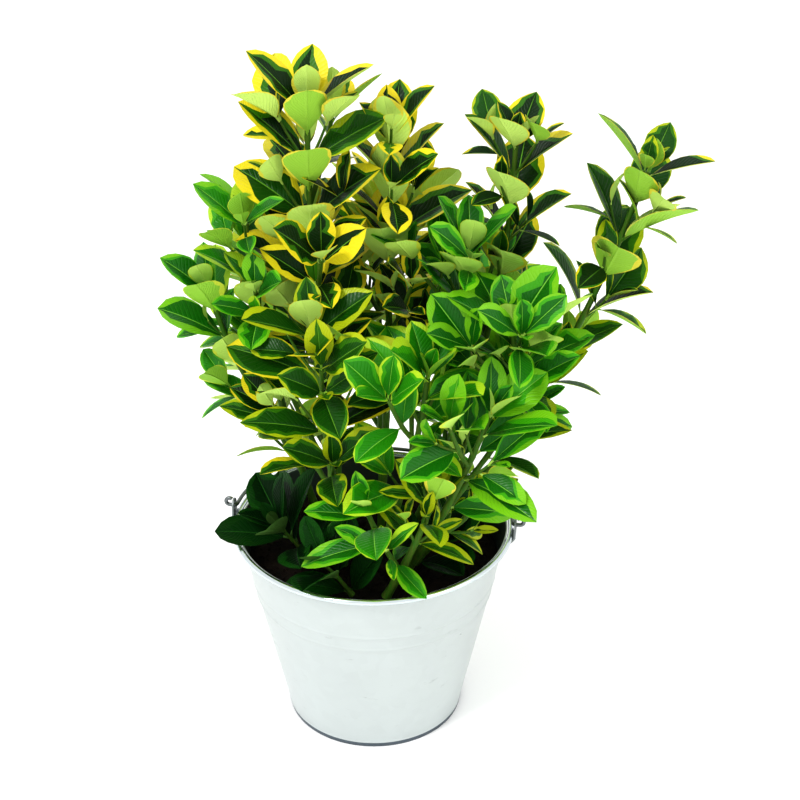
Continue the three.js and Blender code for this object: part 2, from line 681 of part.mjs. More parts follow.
// The points of a leaf at which the bucket, the soil, the bail and the ears are tested.
function leafPoints(leaf) {
  const points = [];
  for (let i = 1; i <= 10; i++) {
    const share = i / 10;
    const { point, face } = leafSpine(leaf, share);
    const h = (halfAt(share) * LEAF_WIDTH * leaf.length) / 2;
    for (const k of [-1, -0.5, 0, 0.5, 1]) {
      const p = point.clone().addScaledVector(leaf.side, k * h * Math.cos(radians(FOLD)));
      points.push(p.addScaledVector(face, Math.abs(k) * h * Math.sin(radians(FOLD))));
    }
  }
  return points;
}

const WALL_CLEARANCE = 1.6;
const SOIL_CLEARANCE = 1.2;
const RIM_CLEARANCE = 1.4;
const BAIL_CLEARANCE = 2.6;

function hitsBucket(p) {
  const r = Math.hypot(p.x, p.y);
  if (p.z < SOIL_TOP + SOIL_CLEARANCE) return true;
  if (p.z < BUCKET_HEIGHT + RIM_CLEARANCE) {
    const inner = wallRadius(p.z) - SHEET - WALL_CLEARANCE;
    const rim = p.z > BUCKET_HEIGHT - 5 ? RIM_RADIUS - 2 * BEAD_RADIUS - RIM_CLEARANCE : inner;
    return r > Math.min(inner, rim);
  }
  return false;
}

// True where a point lies in the shell that the bail sweeps, or at an ear.
function hitsBail(p) {
  const turn = radians(EAR_TURN);
  const along = p.x * Math.cos(turn) + p.y * Math.sin(turn);
  const back = -p.x * Math.sin(turn) + p.y * Math.cos(turn);
  const up = p.z - HINGE_HEIGHT;
  if (Math.abs(along) > EAR_FACE - 5 && Math.hypot(back, up) < EAR_EYE + 5) return true;
  const angle = THREE.MathUtils.radToDeg(Math.atan2(up, back));
  const radius = Math.hypot(along, back, up);
  if (Math.abs(radius - BAIL_RADIUS) > WIRE_RADIUS + BAIL_CLEARANCE) return false;
  return angle > -5 && angle < BAIL_LIFT + 4;
}

// Growth

// A stem as a chain of straight pieces, for the test of clearance.
function piecesAlong(points, radiusAt) {
  const pieces = [];
  for (let i = 0; i + 1 < points.length; i++) {
    const line = [points[i], points[i + 1]];
    pieces.push({ line, radius: radiusAt(i / points.length), length: line[0].distanceTo(line[1]) });
  }
  return pieces;
}

// The main stem of a shoot as an axis that carries leaves.
function mainAxis(shoot) {
  const from = clearStart(shoot);
  const points = stretch(shoot, from, 1, 8);
  return {
    shoot,
    path: pathOf(shoot),
    start: leafyStart(shoot),
    pairs: shoot.pairs,
    leaf: shoot.leaf,
    turn: shoot.turn,
    spread: shoot.spread,
    closing: shoot.closing ?? 0,
    first: FIRST_PAIR,
    pieces: piecesAlong(points, (share) => stemRadius(shoot, lerp(from, 1, share))),
    stem: leafyStem(shoot),
  };
}

// The stem inside a mass of leaves.
function leafyStem(shoot) {
  const start = leafyStart(shoot);
  const points = stretch(shoot, start, 1, TWIG_STEP);
  const radiusAt = (share) => stemRadius(shoot, lerp(start, 1, share));
  const fromSoil = shoot.bare === 0 && !shoot.from;
  return tubeAlong(points, radiusAt, TWIG_SIDES, shoot.turn, fromSoil);
}

// The twigs that a shoot means to carry, as axes.
function twigAxes(shoot) {
  const draw = randomFrom(shoot.seed + 500);
  const path = pathOf(shoot);
  const start = leafyStart(shoot);
  const count = shoot.twigs ?? 0;
  const twigs = [];
  for (let k = 0; k < count; k++) {
    const share = lerp(TWIG_LOW, TWIG_HIGH, (k + draw()) / count);
    const bearing = shoot.turn + 45 + TWIG_TURN * k + 30 * draw();
    const length = shoot.leaf * TWIG_LENGTH * lerp(0.8, 1.1, draw());
    const opening = TWIG_OPENING + 10 * draw();
    const { at, way } = leafFrame(path, lerp(start, 1, share), bearing, opening, 0, length, 1);
    const bend = at.clone().addScaledVector(way, (length * TWIG_OUT) / 2);
    const tip = at.clone().addScaledVector(way, length * TWIG_OUT);
    tip.addScaledVector(UP, length * TWIG_RISE);
    const own = new THREE.QuadraticBezierCurve3(at, bend, tip);
    const points = own.getPoints(4);
    const taper = (t) => lerp(TWIG_FOOT_RADIUS, TWIG_TIP_RADIUS, t);
    twigs.push({
      shoot,
      path: own,
      start: 0,
      pairs: TWIG_PAIRS,
      leaf: shoot.leaf * TWIG_LEAF,
      turn: bearing,
      spread: TWIG_SPREAD,
      closing: 0,
      first: TWIG_FIRST,
      pieces: piecesAlong(points, taper),
      stem: tubeAlong(own.getPoints(2), taper, TWIG_SIDES, bearing),
    });
  }
  return twigs;
}

// Every leaf that an axis means to carry, in order, each as a rule from a try to a leaf.
function leafPlan(axis, draw) {
  const jitter = (size) => (2 * draw() - 1) * size;
  const { path, pairs, spread, closing } = axis;
  const plan = [];
  const add = (t, bearing, opening, size, bend) => {
    const turn = bearing + jitter(TURN_JITTER / 2);
    const open = opening + jitter(OPEN_JITTER);
    const roll = jitter(ROLL_JITTER);
    const length = axis.leaf * size * (1 + jitter(SIZE_JITTER));
    plan.push((trial) =>
      leafFrame(path, t, turn + trial.turn, open + trial.open, roll, length * trial.size, bend),
    );
  };
  for (let pair = 0; pair < pairs; pair++) {
    const p = pairs > 1 ? pair / (pairs - 1) : 1;
    const share = lerp(axis.first, 1, Math.pow(p, INTERNODE_POWER));
    const t = lerp(axis.start, 1, share) - (p === 1 ? LAST_PAIR_BACK / path.getLength() : 0);
    const bearing = axis.turn + 90 * pair + jitter(TURN_JITTER);
    const size = lerp(LEAF_SIZE_LOW, 1, Math.sin(Math.PI * Math.min(1, p * 1.1)));
    for (const half of [0, 180]) {
      const facing = Math.max(0, -Math.sin(radians(bearing + half)));
      const opening = lerp(spread[0], spread[1], p) * (1 - closing * facing);
      add(t, bearing + half, opening, size, lerp(BEND_LOW, BEND_HIGH, p));
    }
  }
  return plan;
}

const axes = SHOOTS.map(mainAxis);

function axesTouch(one, two) {
  return one.pieces.some((a) =>
    two.pieces.some((b) => lineGap(a.line, b.line) < a.radius + b.radius + LIMB_CLEARANCE),
  );
}

// A twig is skipped where it would touch another limb, the bucket or the bail.
for (const shoot of SHOOTS) {
  for (const twig of twigAxes(shoot)) {
    const line = twig.pieces.map((piece) => piece.line[1]);
    if (line.some((p) => hitsBucket(p) || hitsBail(p))) continue;
    if (axes.some((axis) => axis.shoot !== shoot && axesTouch(twig, axis))) continue;
    axes.push(twig);
  }
}

const grown = [];

function fits(body, axis) {
  const points = leafPoints(body.leaf);
  if (points.some((p) => hitsBucket(p) || hitsBail(p))) return false;
  if (axes.some((other) => other !== axis && touchesLimb(body, other))) return false;
  return !grown.some((other) => other.axis !== axis && leavesTouch(body, other.body));
}

function growLeaves(axis, draw) {
  const kept = [];
  for (const leafAt of leafPlan(axis, draw)) {
    for (const trial of TRIES) {
      const body = leafBody(leafAt(trial));
      if (!fits(body, axis)) continue;
      kept.push(body.leaf);
      grown.push({ axis, body });
      break;
    }
  }
  return kept;
}

function massGeometry(shoot) {
  const draw = randomFrom(shoot.seed);
  const solids = [];
  for (const axis of axes.filter((each) => each.shoot === shoot)) {
    solids.push(solidOf(axis.stem));
    for (const leaf of growLeaves(axis, draw)) solids.push(solidOf(leafGeometry(leaf)));
  }
  return geometryOf(wholeBody(solids.reduce((all, one) => all.add(one))));
}

// The whole plant

const plant = new THREE.Group();
plant.add(meshOf("bucket", bucketGeometry(), ZINC));
plant.add(meshOf("soil", soilGeometry(), EARTH));

const handle = new THREE.Group();
handle.rotation.z = radians(EAR_TURN);
handle.add(meshOf("bail", bailGeometry(), WIRE));
for (const [name, turn] of [["ear_right", 0], ["ear_left", Math.PI]]) {
  const ear = meshOf(name, earGeometry(), ZINC);
  ear.rotation.z = turn;
  handle.add(ear);
}
plant.add(handle);

for (const shoot of SHOOTS) {
  if (shoot.bare > 0) {
    const name = (shoot.from ? "bough_" : "stem_") + shoot.name;
    plant.add(meshOf(name, limbGeometry(shoot), BARK));
  }
  plant.add(meshOf("leaves_" + shoot.name, massGeometry(shoot), TONES[shoot.tone]));
}

export default plant;
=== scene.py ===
import math

import bmesh
import bpy
import numpy as np
from mathutils import Matrix, Vector, noise
from mathutils.bvhtree import BVHTree
from mathutils.kdtree import KDTree


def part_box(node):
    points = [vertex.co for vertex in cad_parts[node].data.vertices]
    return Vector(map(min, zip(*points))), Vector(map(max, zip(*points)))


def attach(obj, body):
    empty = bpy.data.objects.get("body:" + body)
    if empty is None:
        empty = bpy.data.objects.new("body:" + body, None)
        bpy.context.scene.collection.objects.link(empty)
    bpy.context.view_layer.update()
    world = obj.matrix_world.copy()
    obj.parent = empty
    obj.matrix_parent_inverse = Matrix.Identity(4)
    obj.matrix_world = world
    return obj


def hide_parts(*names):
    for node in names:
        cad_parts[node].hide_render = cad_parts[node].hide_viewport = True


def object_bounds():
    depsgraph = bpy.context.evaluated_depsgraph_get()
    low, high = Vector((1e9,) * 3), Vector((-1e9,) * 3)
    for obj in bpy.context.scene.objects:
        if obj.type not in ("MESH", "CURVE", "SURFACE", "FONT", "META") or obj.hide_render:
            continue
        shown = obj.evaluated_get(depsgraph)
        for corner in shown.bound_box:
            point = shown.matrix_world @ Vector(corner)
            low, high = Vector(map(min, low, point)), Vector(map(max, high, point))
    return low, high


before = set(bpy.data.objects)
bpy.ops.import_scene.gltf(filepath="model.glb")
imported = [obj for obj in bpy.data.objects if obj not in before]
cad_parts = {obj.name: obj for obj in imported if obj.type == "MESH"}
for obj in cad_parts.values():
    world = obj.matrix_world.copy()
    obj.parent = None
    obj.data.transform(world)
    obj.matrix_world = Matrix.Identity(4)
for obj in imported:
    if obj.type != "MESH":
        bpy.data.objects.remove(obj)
cad_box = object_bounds()

MM = 0.001
PLANT = "potted_plant"
BAIL = "bail"

# Measures of the bucket, the bail and the compost, in millimetres
BUCKET_HEIGHT = 130
RIM_RADIUS = 85
FOOT_RADIUS = 54
BEAD_RADIUS = 1.75
SHEET = 0.8
SWAGE_HEIGHTS = (96.5, 86.5)
SWAGE_DEPTH = 0.6
SWAGE_WIDTH = 1.0
SOIL_TOP = 110
CLEAR = 0.3
EAR_TURN = -7.8
HINGE_HEIGHT = 133.7
BAIL_RADIUS = 84.3
WIRE_RADIUS = 1.2
CURL_RADIUS = 2.3
CURL_START = 88.6
BAIL_BEND = 2.2
EAR_EYE = 4.4
EAR_FACE = 85.5

# Camera
CAMERA_ELEVATION = 28.16
CAMERA_DISTANCE = 0.9
CAMERA_AIM = (0.0163, 0.0, 0.2122)
CAMERA_ROLL = -0.14
FOCAL_PIXELS = 1550
FRAME_PIXELS = 800
SENSOR = 36

# The leafy shoots, in millimetres and degrees. A shoot rises from the soil at foot, or leaves
# another one's bare stem at the share called at. Its path is one arc drawn by foot, bend and tip.
# The share called bare carries no leaves. turn is the bearing of the first pair, and spread is how
# far the leaves open from the stem at the first pair and at the last. closing is the share by which
# the leaves that face the viewer stand closer to the stem.
SHOOTS = [
    dict(name="crest", foot=(-14, 6), bend=(-35, -4, 255), tip=(-32, -5, 388), bare=0.3, pairs=10,
         leaf=52, turn=90, spread=(62, 50), closing=0.4, tone="gold", twigs=3, seed=11),
    dict(name="second", foot=(4, 14), bend=(12, 12, 250), tip=(11, 8, 368), bare=0.26, pairs=10,
         leaf=52, turn=90, spread=(72, 34), closing=0.4, tone="gold", twigs=4, seed=12),
    dict(name="third", foot=(20, 10), bend=(77, 8, 235), tip=(79, 8, 364), bare=0.42, pairs=7, leaf=45,
         turn=65, spread=(36, 40), tone="gold", twigs=1, seed=13),
    dict(name="right", foot=(32, 2), bend=(110, 12, 205), tip=(152, 12, 347), bare=0.5, pairs=6,
         leaf=50, turn=70, spread=(34, 52), tone="gold", seed=14),
    dict(name="left", foot=(-28, 6), bend=(-62, 4, 225), tip=(-68, 0, 322), bare=0.4, pairs=6, leaf=45,
         turn=90, spread=(36, 50), tone="lime", twigs=2, seed=15),
    dict(name="centre_left", foot=(-18, -18), bend=(-24, -38, 205), tip=(-31, -42, 276), bare=0.34,
         pairs=6, leaf=56, turn=90, spread=(76, 58), tone="gold", twigs=2, seed=16),
    dict(name="front", foot=(-2, -26), bend=(25, -50, 190), tip=(31, -56, 255), bare=0.4, pairs=5,
         leaf=56, turn=45, spread=(75, 52), tone="lime", twigs=2, seed=17),
    dict(name="front_right", foot=(20, -26), bend=(46, -64, 180), tip=(64, -68, 238), bare=0.42,
         pairs=5, leaf=54, turn=30, spread=(72, 44), tone="lime", twigs=2, seed=18),
    dict(name="low_gold", foot=(8, -52), bend=(26, -58, 150), tip=(35, -60, 182), bare=0.5, pairs=4,
         leaf=42, turn=0, spread=(70, 38), tone="gold", seed=19),
    dict(name="mid_right", off="right", at=0.3, bend=(85, -34, 222), tip=(77, -40, 276), bare=0.25,
         pairs=5, leaf=54, turn=10, spread=(75, 44), tone="lime", twigs=2, seed=20),
    dict(name="far_left", off="left", at=0.3, bend=(-78, -8, 232), tip=(-89, -8, 286), bare=0.25,
         pairs=5, leaf=44, turn=0, spread=(36, 32), tone="lime", seed=21),
    dict(name="mid_top", off="third", at=0.38, bend=(50, -8, 262), tip=(54, -10, 308), bare=0, pairs=5,
         leaf=50, turn=0, spread=(70, 38), tone="lime", twigs=2, seed=22),
    dict(name="low_left", off="centre_left", at=0.3, bend=(-42, -28, 206), tip=(-54, -30, 224),
         bare=0.2, pairs=5, leaf=41, turn=30, spread=(56, 36), tone="gold", seed=23),
    dict(name="low_front", off="low_gold", at=0.25, bend=(6, -58, 148), tip=(-2, -64, 176), bare=0,
         pairs=4, leaf=46, turn=90, spread=(98, 66), tone="lime", seed=24),
    dict(name="out_right", off="right", at=0.4, bend=(96, -12, 222), tip=(92, -18, 238), bare=0.2,
         pairs=4, leaf=42, turn=0, spread=(60, 40), tone="gold", seed=25),
    dict(name="low_right", off="front_right", at=0.36, bend=(66, -44, 203), tip=(76, -44, 216),
         bare=0.2, pairs=4, leaf=44, turn=0, spread=(60, 40), tone="gold", seed=26),
    dict(name="rim_right", off="front_right", at=0.25, bend=(54, -42, 152), tip=(58, -40, 166),
         bare=0.2, pairs=3, leaf=35, turn=0, spread=(62, 44), tone="gold", seed=27),
    dict(name="behind_right", off="right", at=0.46, bend=(108, 20, 226), tip=(118, 26, 238), bare=0,
         pairs=3, leaf=38, turn=0, spread=(66, 40), tone="gold", seed=28),
    dict(name="back_left", foot=(-18, 30), bend=(-45, 60, 210), tip=(-56, 70, 282), bare=0.28, pairs=8,
         leaf=54, turn=30, spread=(74, 42), tone="gold", twigs=2, seed=29),
    dict(name="back_centre", foot=(6, 36), bend=(2, 68, 230), tip=(4, 76, 304), bare=0.28, pairs=9,
         leaf=54, turn=60, spread=(74, 42), tone="gold", twigs=3, seed=30),
    dict(name="back_right", foot=(32, 28), bend=(60, 60, 196), tip=(68, 68, 246), bare=0.28, pairs=6,
         leaf=54, turn=24, spread=(74, 44), tone="lime", twigs=2, seed=31),
    dict(name="low_back_left", off="back_left", at=0.24, bend=(-50, 58, 184), tip=(-66, 64, 216),
         bare=0.2, pairs=5, leaf=44, turn=0, spread=(72, 42), tone="lime", seed=32),
    dict(name="low_back", off="back_centre", at=0.24, bend=(-16, 84, 180), tip=(-24, 104, 218),
         bare=0.2, pairs=5, leaf=52, turn=40, spread=(74, 44), tone="gold", seed=33),
    dict(name="low_back_right", off="back_right", at=0.24, bend=(44, 66, 198), tip=(52, 98, 212),
         bare=0.2, pairs=5, leaf=50, turn=10, spread=(74, 44), tone="gold", seed=34),
    dict(name="side_right", off="back_right", at=0.2, bend=(78, 42, 174), tip=(84, 46, 204), bare=0.3,
         pairs=5, leaf=42, turn=40, spread=(70, 42), tone="lime", seed=35),
    dict(name="side_left", off="left", at=0.22, bend=(-60, 34, 170), tip=(-68, 42, 206), bare=0.2,
         pairs=5, leaf=42, turn=20, spread=(70, 42), tone="gold", seed=36),
    dict(name="basal_left", foot=(-38, -12), bend=(-44, -16, 120), tip=(-54, -16, 134), bare=0,
         pairs=4, leaf=54, turn=10, spread=(62, 46), tone="plain", seed=37),
    dict(name="basal_front", foot=(-12, -50), bend=(-18, -52, 122), tip=(-26, -53, 132), bare=0,
         pairs=3, leaf=48, turn=0, spread=(62, 48), tone="plain", seed=38),
    dict(name="basal_right", foot=(26, -18), bend=(32, -22, 122), tip=(38, -28, 132), bare=0, pairs=3,
         leaf=46, turn=-45, spread=(62, 48), tone="plain", seed=39),
]

# The rule by which every shoot grows
STEM_FOOT_RADIUS = 2.6
BOUGH_FOOT_RADIUS = 1.7
STEM_TIP_RADIUS = 1.4
TAPER_POWER = 0.8
LEAST_SLANT = 0.35
LENGTH_STEPS = 200
TWIG_FOOT_RADIUS = 1.5
TWIG_TIP_RADIUS = 1.1
TWIG_PAIRS = 2
TWIG_DRAW = 500
TWIG_LENGTH = 0.9
TWIG_SIZE = (0.8, 1.1)
TWIG_OUT = 0.85
TWIG_RISE = 0.3
TWIG_LEAF = 0.84
TWIG_OPENING = 50
TWIG_OPENING_SPAN = 10
TWIG_TURN = 137.5
TWIG_TURN_FROM = 45
TWIG_TURN_SPAN = 30
TWIG_LOW = 0.08
TWIG_HIGH = 0.72
TWIG_FIRST = 0.5
TWIG_SPREAD = (60, 38)
HALVES = (0, 180)
FIRST_PAIR = 0.07
LAST_PAIR_BACK = 3
LEAF_SIZE_LOW = 0.84
SIZE_ARCH = 1.1
INTERNODE_POWER = 0.76
TURN_JITTER = 12
OPEN_JITTER = 8
ROLL_JITTER = 14
SIZE_JITTER = 0.09
LIFT = 0.22
FACE_UP = 0.5
FACE_SIDE = 0.35
FACE_FRONT = 0.6
LIGHT_BACK = 28
CROWN_REACH = 60
BEND_LOW = 34
BEND_HIGH = 12
FOLD = 16
SOLID_LEAF_WIDTH = 0.63
SOLID_LEAF_THICKNESS = 0.9
STATIONS = ((0.32, 0.8), (0.63, 1.0))
TRIES = (
    (0, 0, 1), (15, 0, 1), (-15, 0, 1), (0, -14, 0.95), (0, 12, 0.95), (28, 4, 0.88),
    (-28, 4, 0.88), (10, -10, 0.74), (-10, 8, 0.66),
)
FOUND_WITHIN = 0.06
CORNERS_NEEDED = 2

UP = np.array((0.0, 0.0, 1.0))
RIGHT = np.array((1.0, 0.0, 0.0))


def lerp(a, b, t):
    return a + (b - a) * t


def unit(v):
    return v / np.linalg.norm(v)


def cosine(degrees):
    return math.cos(math.radians(degrees))


def sine(degrees):
    return math.sin(math.radians(degrees))


def random_from(seed):
    """A repeatable row of numbers from 0 to 1, the same as in the part's source."""
    word = 0xFFFFFFFF
    state = seed * 7919

    def draw():
        nonlocal state
        state = (state + 0x6D2B79F5) & word
        t = ((state ^ (state >> 15)) * (1 | state)) & word
        t = ((t + (((t ^ (t >> 7)) * (61 | t)) & word)) & word) ^ t
        return ((t ^ (t >> 14)) & word) / 4294967296

    return draw


class Arc:
    """A quadratic arc from foot by bend to tip."""

    def __init__(self, foot, bend, tip):
        self.foot = np.array(foot, float)
        self.bend = np.array(bend, float)
        self.tip = np.array(tip, float)

    def point(self, t):
        return (1 - t) ** 2 * self.foot + 2 * (1 - t) * t * self.bend + t * t * self.tip

    def speed(self, t):
        return 2 * (1 - t) * (self.bend - self.foot) + 2 * t * (self.tip - self.bend)

    def tangent(self, t):
        return unit(self.speed(t))

    def length(self):
        points = np.array([self.point(i / LENGTH_STEPS) for i in range(LENGTH_STEPS + 1)])
        return float(np.linalg.norm(np.diff(points, axis=0), axis=1).sum())


by_name = {shoot["name"]: shoot for shoot in SHOOTS}


def path_of(shoot):
    if "off" in shoot:
        foot = path_of(by_name[shoot["off"]]).point(shoot["at"])
    else:
        foot = (*shoot["foot"], SOIL_TOP + CLEAR)
    return Arc(foot, shoot["bend"], shoot["tip"])


def stem_radius(shoot, t):
    foot = BOUGH_FOOT_RADIUS if "off" in shoot else STEM_FOOT_RADIUS
    return lerp(foot, STEM_TIP_RADIUS, t ** TAPER_POWER)


def clear_start(shoot):
    """The share of a side shoot's path at which its foot stands clear of the stem it leaves."""
    if "off" not in shoot:
        return 0
    parent = by_name[shoot["off"]]
    stem = path_of(parent).tangent(shoot["at"])
    path = path_of(shoot)
    way = path.tangent(0)
    slant = max(float(np.linalg.norm(np.cross(stem, way))), LEAST_SLANT)
    own = stem_radius(shoot, 0)
    reach = (stem_radius(parent, shoot["at"]) + CLEAR + own * abs(float(stem @ way))) / slant
    return reach / float(np.linalg.norm(path.bend - path.foot)) / 2


def leafy_start(shoot):
    if shoot["bare"] == 0:
        return clear_start(shoot)
    return shoot["bare"] + CLEAR / float(np.linalg.norm(path_of(shoot).speed(shoot["bare"])))


def level_across(along):
    return unit(RIGHT - along * along[0])


def leaf_frame(path, t, bearing, opening, roll, length, bend):
    """Where a leaf leaves its stem, its way, its upper side and its measures."""
    at = path.point(t)
    stem = path.tangent(t)
    level = level_across(stem)
    out = level * cosine(bearing) + np.cross(stem, level) * sine(bearing)
    way = unit(stem * cosine(opening) + out * sine(opening) + UP * LIFT * sine(opening))
    face = stem * sine(opening) - out * cosine(opening) + UP * FACE_UP
    reach = max(CROWN_REACH, math.hypot(at[0], at[1] - LIGHT_BACK))
    face[0] += FACE_SIDE * at[0] / reach
    face[1] += FACE_FRONT * (at[1] - LIGHT_BACK) / reach
    face = unit(face - way * (face @ way))
    face = face * cosine(roll) + np.cross(way, face) * sine(roll)
    side = np.cross(way, face)
    return dict(at=at, way=way, face=face, side=side, length=length, bend=math.radians(bend))


def leaf_spine(leaf, share):
    """A point of a leaf's middle line at a share of its length, and the upper side there."""
    a = leaf["bend"] * share
    reach = leaf["length"] / leaf["bend"]
    way, face = leaf["way"], leaf["face"]
    point = leaf["at"] + way * (reach * math.sin(a)) - face * (reach * (1 - math.cos(a)))
    return point, face * math.cos(a) + way * math.sin(a)


def solid_corners(leaf):
    """The corners that a leaf has in the part's solids."""
    corners = [leaf_spine(leaf, 1)[0]]
    for share, half in STATIONS:
        point, face = leaf_spine(leaf, share)
        h = half * SOLID_LEAF_WIDTH * leaf["length"] / 2
        for sign in (-1, 1):
            corners.append(point + leaf["side"] * (sign * h * cosine(FOLD)) + face * (h * sine(FOLD)))
        corners.append(point - face * SOLID_LEAF_THICKNESS / 2)
    return corners


def main_axis(shoot):
    return dict(
        path=path_of(shoot), start=leafy_start(shoot), pairs=shoot["pairs"], leaf=shoot["leaf"],
        turn=shoot["turn"], spread=shoot["spread"], closing=shoot.get("closing", 0), first=FIRST_PAIR,
        twig=False)


def twig_axes(shoot):
    """The twigs that a shoot means to carry."""
    draw = random_from(shoot["seed"] + TWIG_DRAW)
    path = path_of(shoot)
    start = leafy_start(shoot)
    count = shoot.get("twigs", 0)
    twigs = []
    for k in range(count):
        share = lerp(TWIG_LOW, TWIG_HIGH, (k + draw()) / count)
        bearing = shoot["turn"] + TWIG_TURN_FROM + TWIG_TURN * k + TWIG_TURN_SPAN * draw()
        length = shoot["leaf"] * TWIG_LENGTH * lerp(*TWIG_SIZE, draw())
        opening = TWIG_OPENING + TWIG_OPENING_SPAN * draw()
        foot = leaf_frame(path, lerp(start, 1, share), bearing, opening, 0, length, 1)
        bend = foot["at"] + foot["way"] * (length * TWIG_OUT / 2)
        tip = foot["at"] + foot["way"] * (length * TWIG_OUT) + UP * (length * TWIG_RISE)
        twigs.append(dict(
            path=Arc(foot["at"], bend, tip), start=0, pairs=TWIG_PAIRS, leaf=shoot["leaf"] * TWIG_LEAF,
            turn=bearing, spread=TWIG_SPREAD, closing=0, first=TWIG_FIRST, twig=True))
    return twigs


def leaf_plan(axis, draw):
    """Every leaf that an axis means to carry, each with its nine ways to stand."""
    def jitter(size):
        return (2 * draw() - 1) * size

    path, pairs, spread = axis["path"], axis["pairs"], axis["spread"]
    plan = []
    for pair in range(pairs):
        p = pair / (pairs - 1) if pairs > 1 else 1
        share = lerp(axis["first"], 1, p ** INTERNODE_POWER)
        t = lerp(axis["start"], 1, share) - (LAST_PAIR_BACK / path.length() if p == 1 else 0)
        bearing = axis["turn"] + 90 * pair + jitter(TURN_JITTER)
        size = lerp(LEAF_SIZE_LOW, 1, math.sin(math.pi * min(1, p * SIZE_ARCH)))
        for half in HALVES:
            facing = max(0, -sine(bearing + half))
            opening = lerp(*spread, p) * (1 - axis["closing"] * facing)
            turn = bearing + half + jitter(TURN_JITTER / 2)
            opens = opening + jitter(OPEN_JITTER)
            roll = jitter(ROLL_JITTER)
            length = axis["leaf"] * size * (1 + jitter(SIZE_JITTER))
            bend = lerp(BEND_LOW, BEND_HIGH, p)
            plan.append([
                leaf_frame(path, t, turn + trial[0], opens + trial[1], roll, length * trial[2], bend)
                for trial in TRIES
            ])
    return plan


def corner_finder(node):
    """Tells how many of some points are corners of a solid."""
    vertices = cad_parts[node].data.vertices
    tree = KDTree(len(vertices))
    for i, vertex in enumerate(vertices):
        tree.insert(vertex.co / MM, i)
    tree.balance()
    return lambda points: sum(tree.find(Vector(p))[2] < FOUND_WITHIN for p in points)


def twig_ring(axis, t):
    """The four corners of a twig's solid at the middle or the tip of its path."""
    path = axis["path"]
    along = unit(path.point(1) - path.point(0.5 if t == 1 else 0))
    across = level_across(along)
    third = np.cross(along, across)
    radius = lerp(TWIG_FOOT_RADIUS, TWIG_TIP_RADIUS, t)
    corners = []
    for k in range(4):
        a = math.pi * (k + 0.5) / 2 + math.radians(axis["turn"])
        corners.append(path.point(t) + across * (radius * math.cos(a)) + third * (radius * math.sin(a)))
    return corners


def grow(shoot):
    """The axes and the leaves of a shoot, those that stand in its solid."""
    found = corner_finder("leaves_" + shoot["name"])
    draw = random_from(shoot["seed"])
    axes = [main_axis(shoot)]
    for twig in twig_axes(shoot):
        if found(twig_ring(twig, 0.5) + twig_ring(twig, 1)) >= CORNERS_NEEDED:
            axes.append(twig)
    for axis in axes:
        axis["leaves"] = []
        for ways in leaf_plan(axis, draw):
            kept = next((leaf for leaf in ways if found(solid_corners(leaf)) >= CORNERS_NEEDED), None)
            if kept:
                axis["leaves"].append(kept)
    return axes


# Node trees

class Value:
    """What a socket gives: signs and comparisons on it add nodes to its tree."""

    def __init__(self, nodes, socket):
        self.nodes = nodes
        self.socket = socket

    def __add__(self, other):
        return self.nodes.math("ADD", self, other)

    def __sub__(self, other):
        return self.nodes.math("SUBTRACT", self, other)

    def __rsub__(self, other):
        return self.nodes.math("SUBTRACT", other, self)

    def __mul__(self, other):
        return self.nodes.math("MULTIPLY", self, other)

    def __truediv__(self, other):
        return self.nodes.math("DIVIDE", self, other)

    def __gt__(self, other):
        return self.nodes.math("GREATER_THAN", self, other)

    def __lt__(self, other):
        return self.nodes.math("LESS_THAN", self, other)

    def __abs__(self):
        return self.nodes.math("ABSOLUTE", self)

    def __and__(self, other):
        return self.nodes.output("FunctionNodeBooleanMath", {0: self, 1: other}, operation="AND")

    def __or__(self, other):
        return self.nodes.output("FunctionNodeBooleanMath", {0: self, 1: other}, operation="OR")


class Nodes:
    """A node tree under construction, with short ways to add to it."""

    def __init__(self, tree):
        self.tree = tree

    def put(self, socket, value):
        if isinstance(value, Value):
            self.tree.links.new(value.socket, socket)
        else:
            socket.default_value = value

    def add(self, kind, inputs=None, **settings):
        node = self.tree.nodes.new(kind)
        for name, value in settings.items():
            setattr(node, name, value)
        for name, value in (inputs or {}).items():
            self.put(node.inputs[name], value)
        return node

    def output(self, kind, inputs=None, gives=0, **settings):
        return Value(self, self.add(kind, inputs, **settings).outputs[gives])

    def math(self, operation, *values, clamp=False):
        inputs = dict(enumerate(values))
        return self.output("ShaderNodeMath", inputs, operation=operation, use_clamp=clamp)

    def vector(self, operation, *values):
        second = "Scale" if operation == "SCALE" else 1
        return self.output("ShaderNodeVectorMath", dict(zip((0, second), values)), operation=operation)

    def parts(self, vector):
        split = self.add("ShaderNodeSeparateXYZ", {"Vector": vector})
        return [Value(self, socket) for socket in split.outputs]

    def noise(self, vector, scale, detail=3, roughness=0.5):
        values = {"Scale": scale, "Detail": detail, "Roughness": roughness, "Vector": vector}
        return self.output("ShaderNodeTexNoise", values)

    def spread(self, value, low, high, to_low, to_high):
        values = {"Value": value, "From Min": low, "From Max": high, "To Min": to_low, "To Max": to_high}
        return self.output("ShaderNodeMapRange", values, "Result")

    def bell(self, value, centre, width):
        """1 where a value meets the centre, falling off to both sides over the width."""
        away = (value - centre) / width
        return self.math("EXPONENT", away * away * -1)


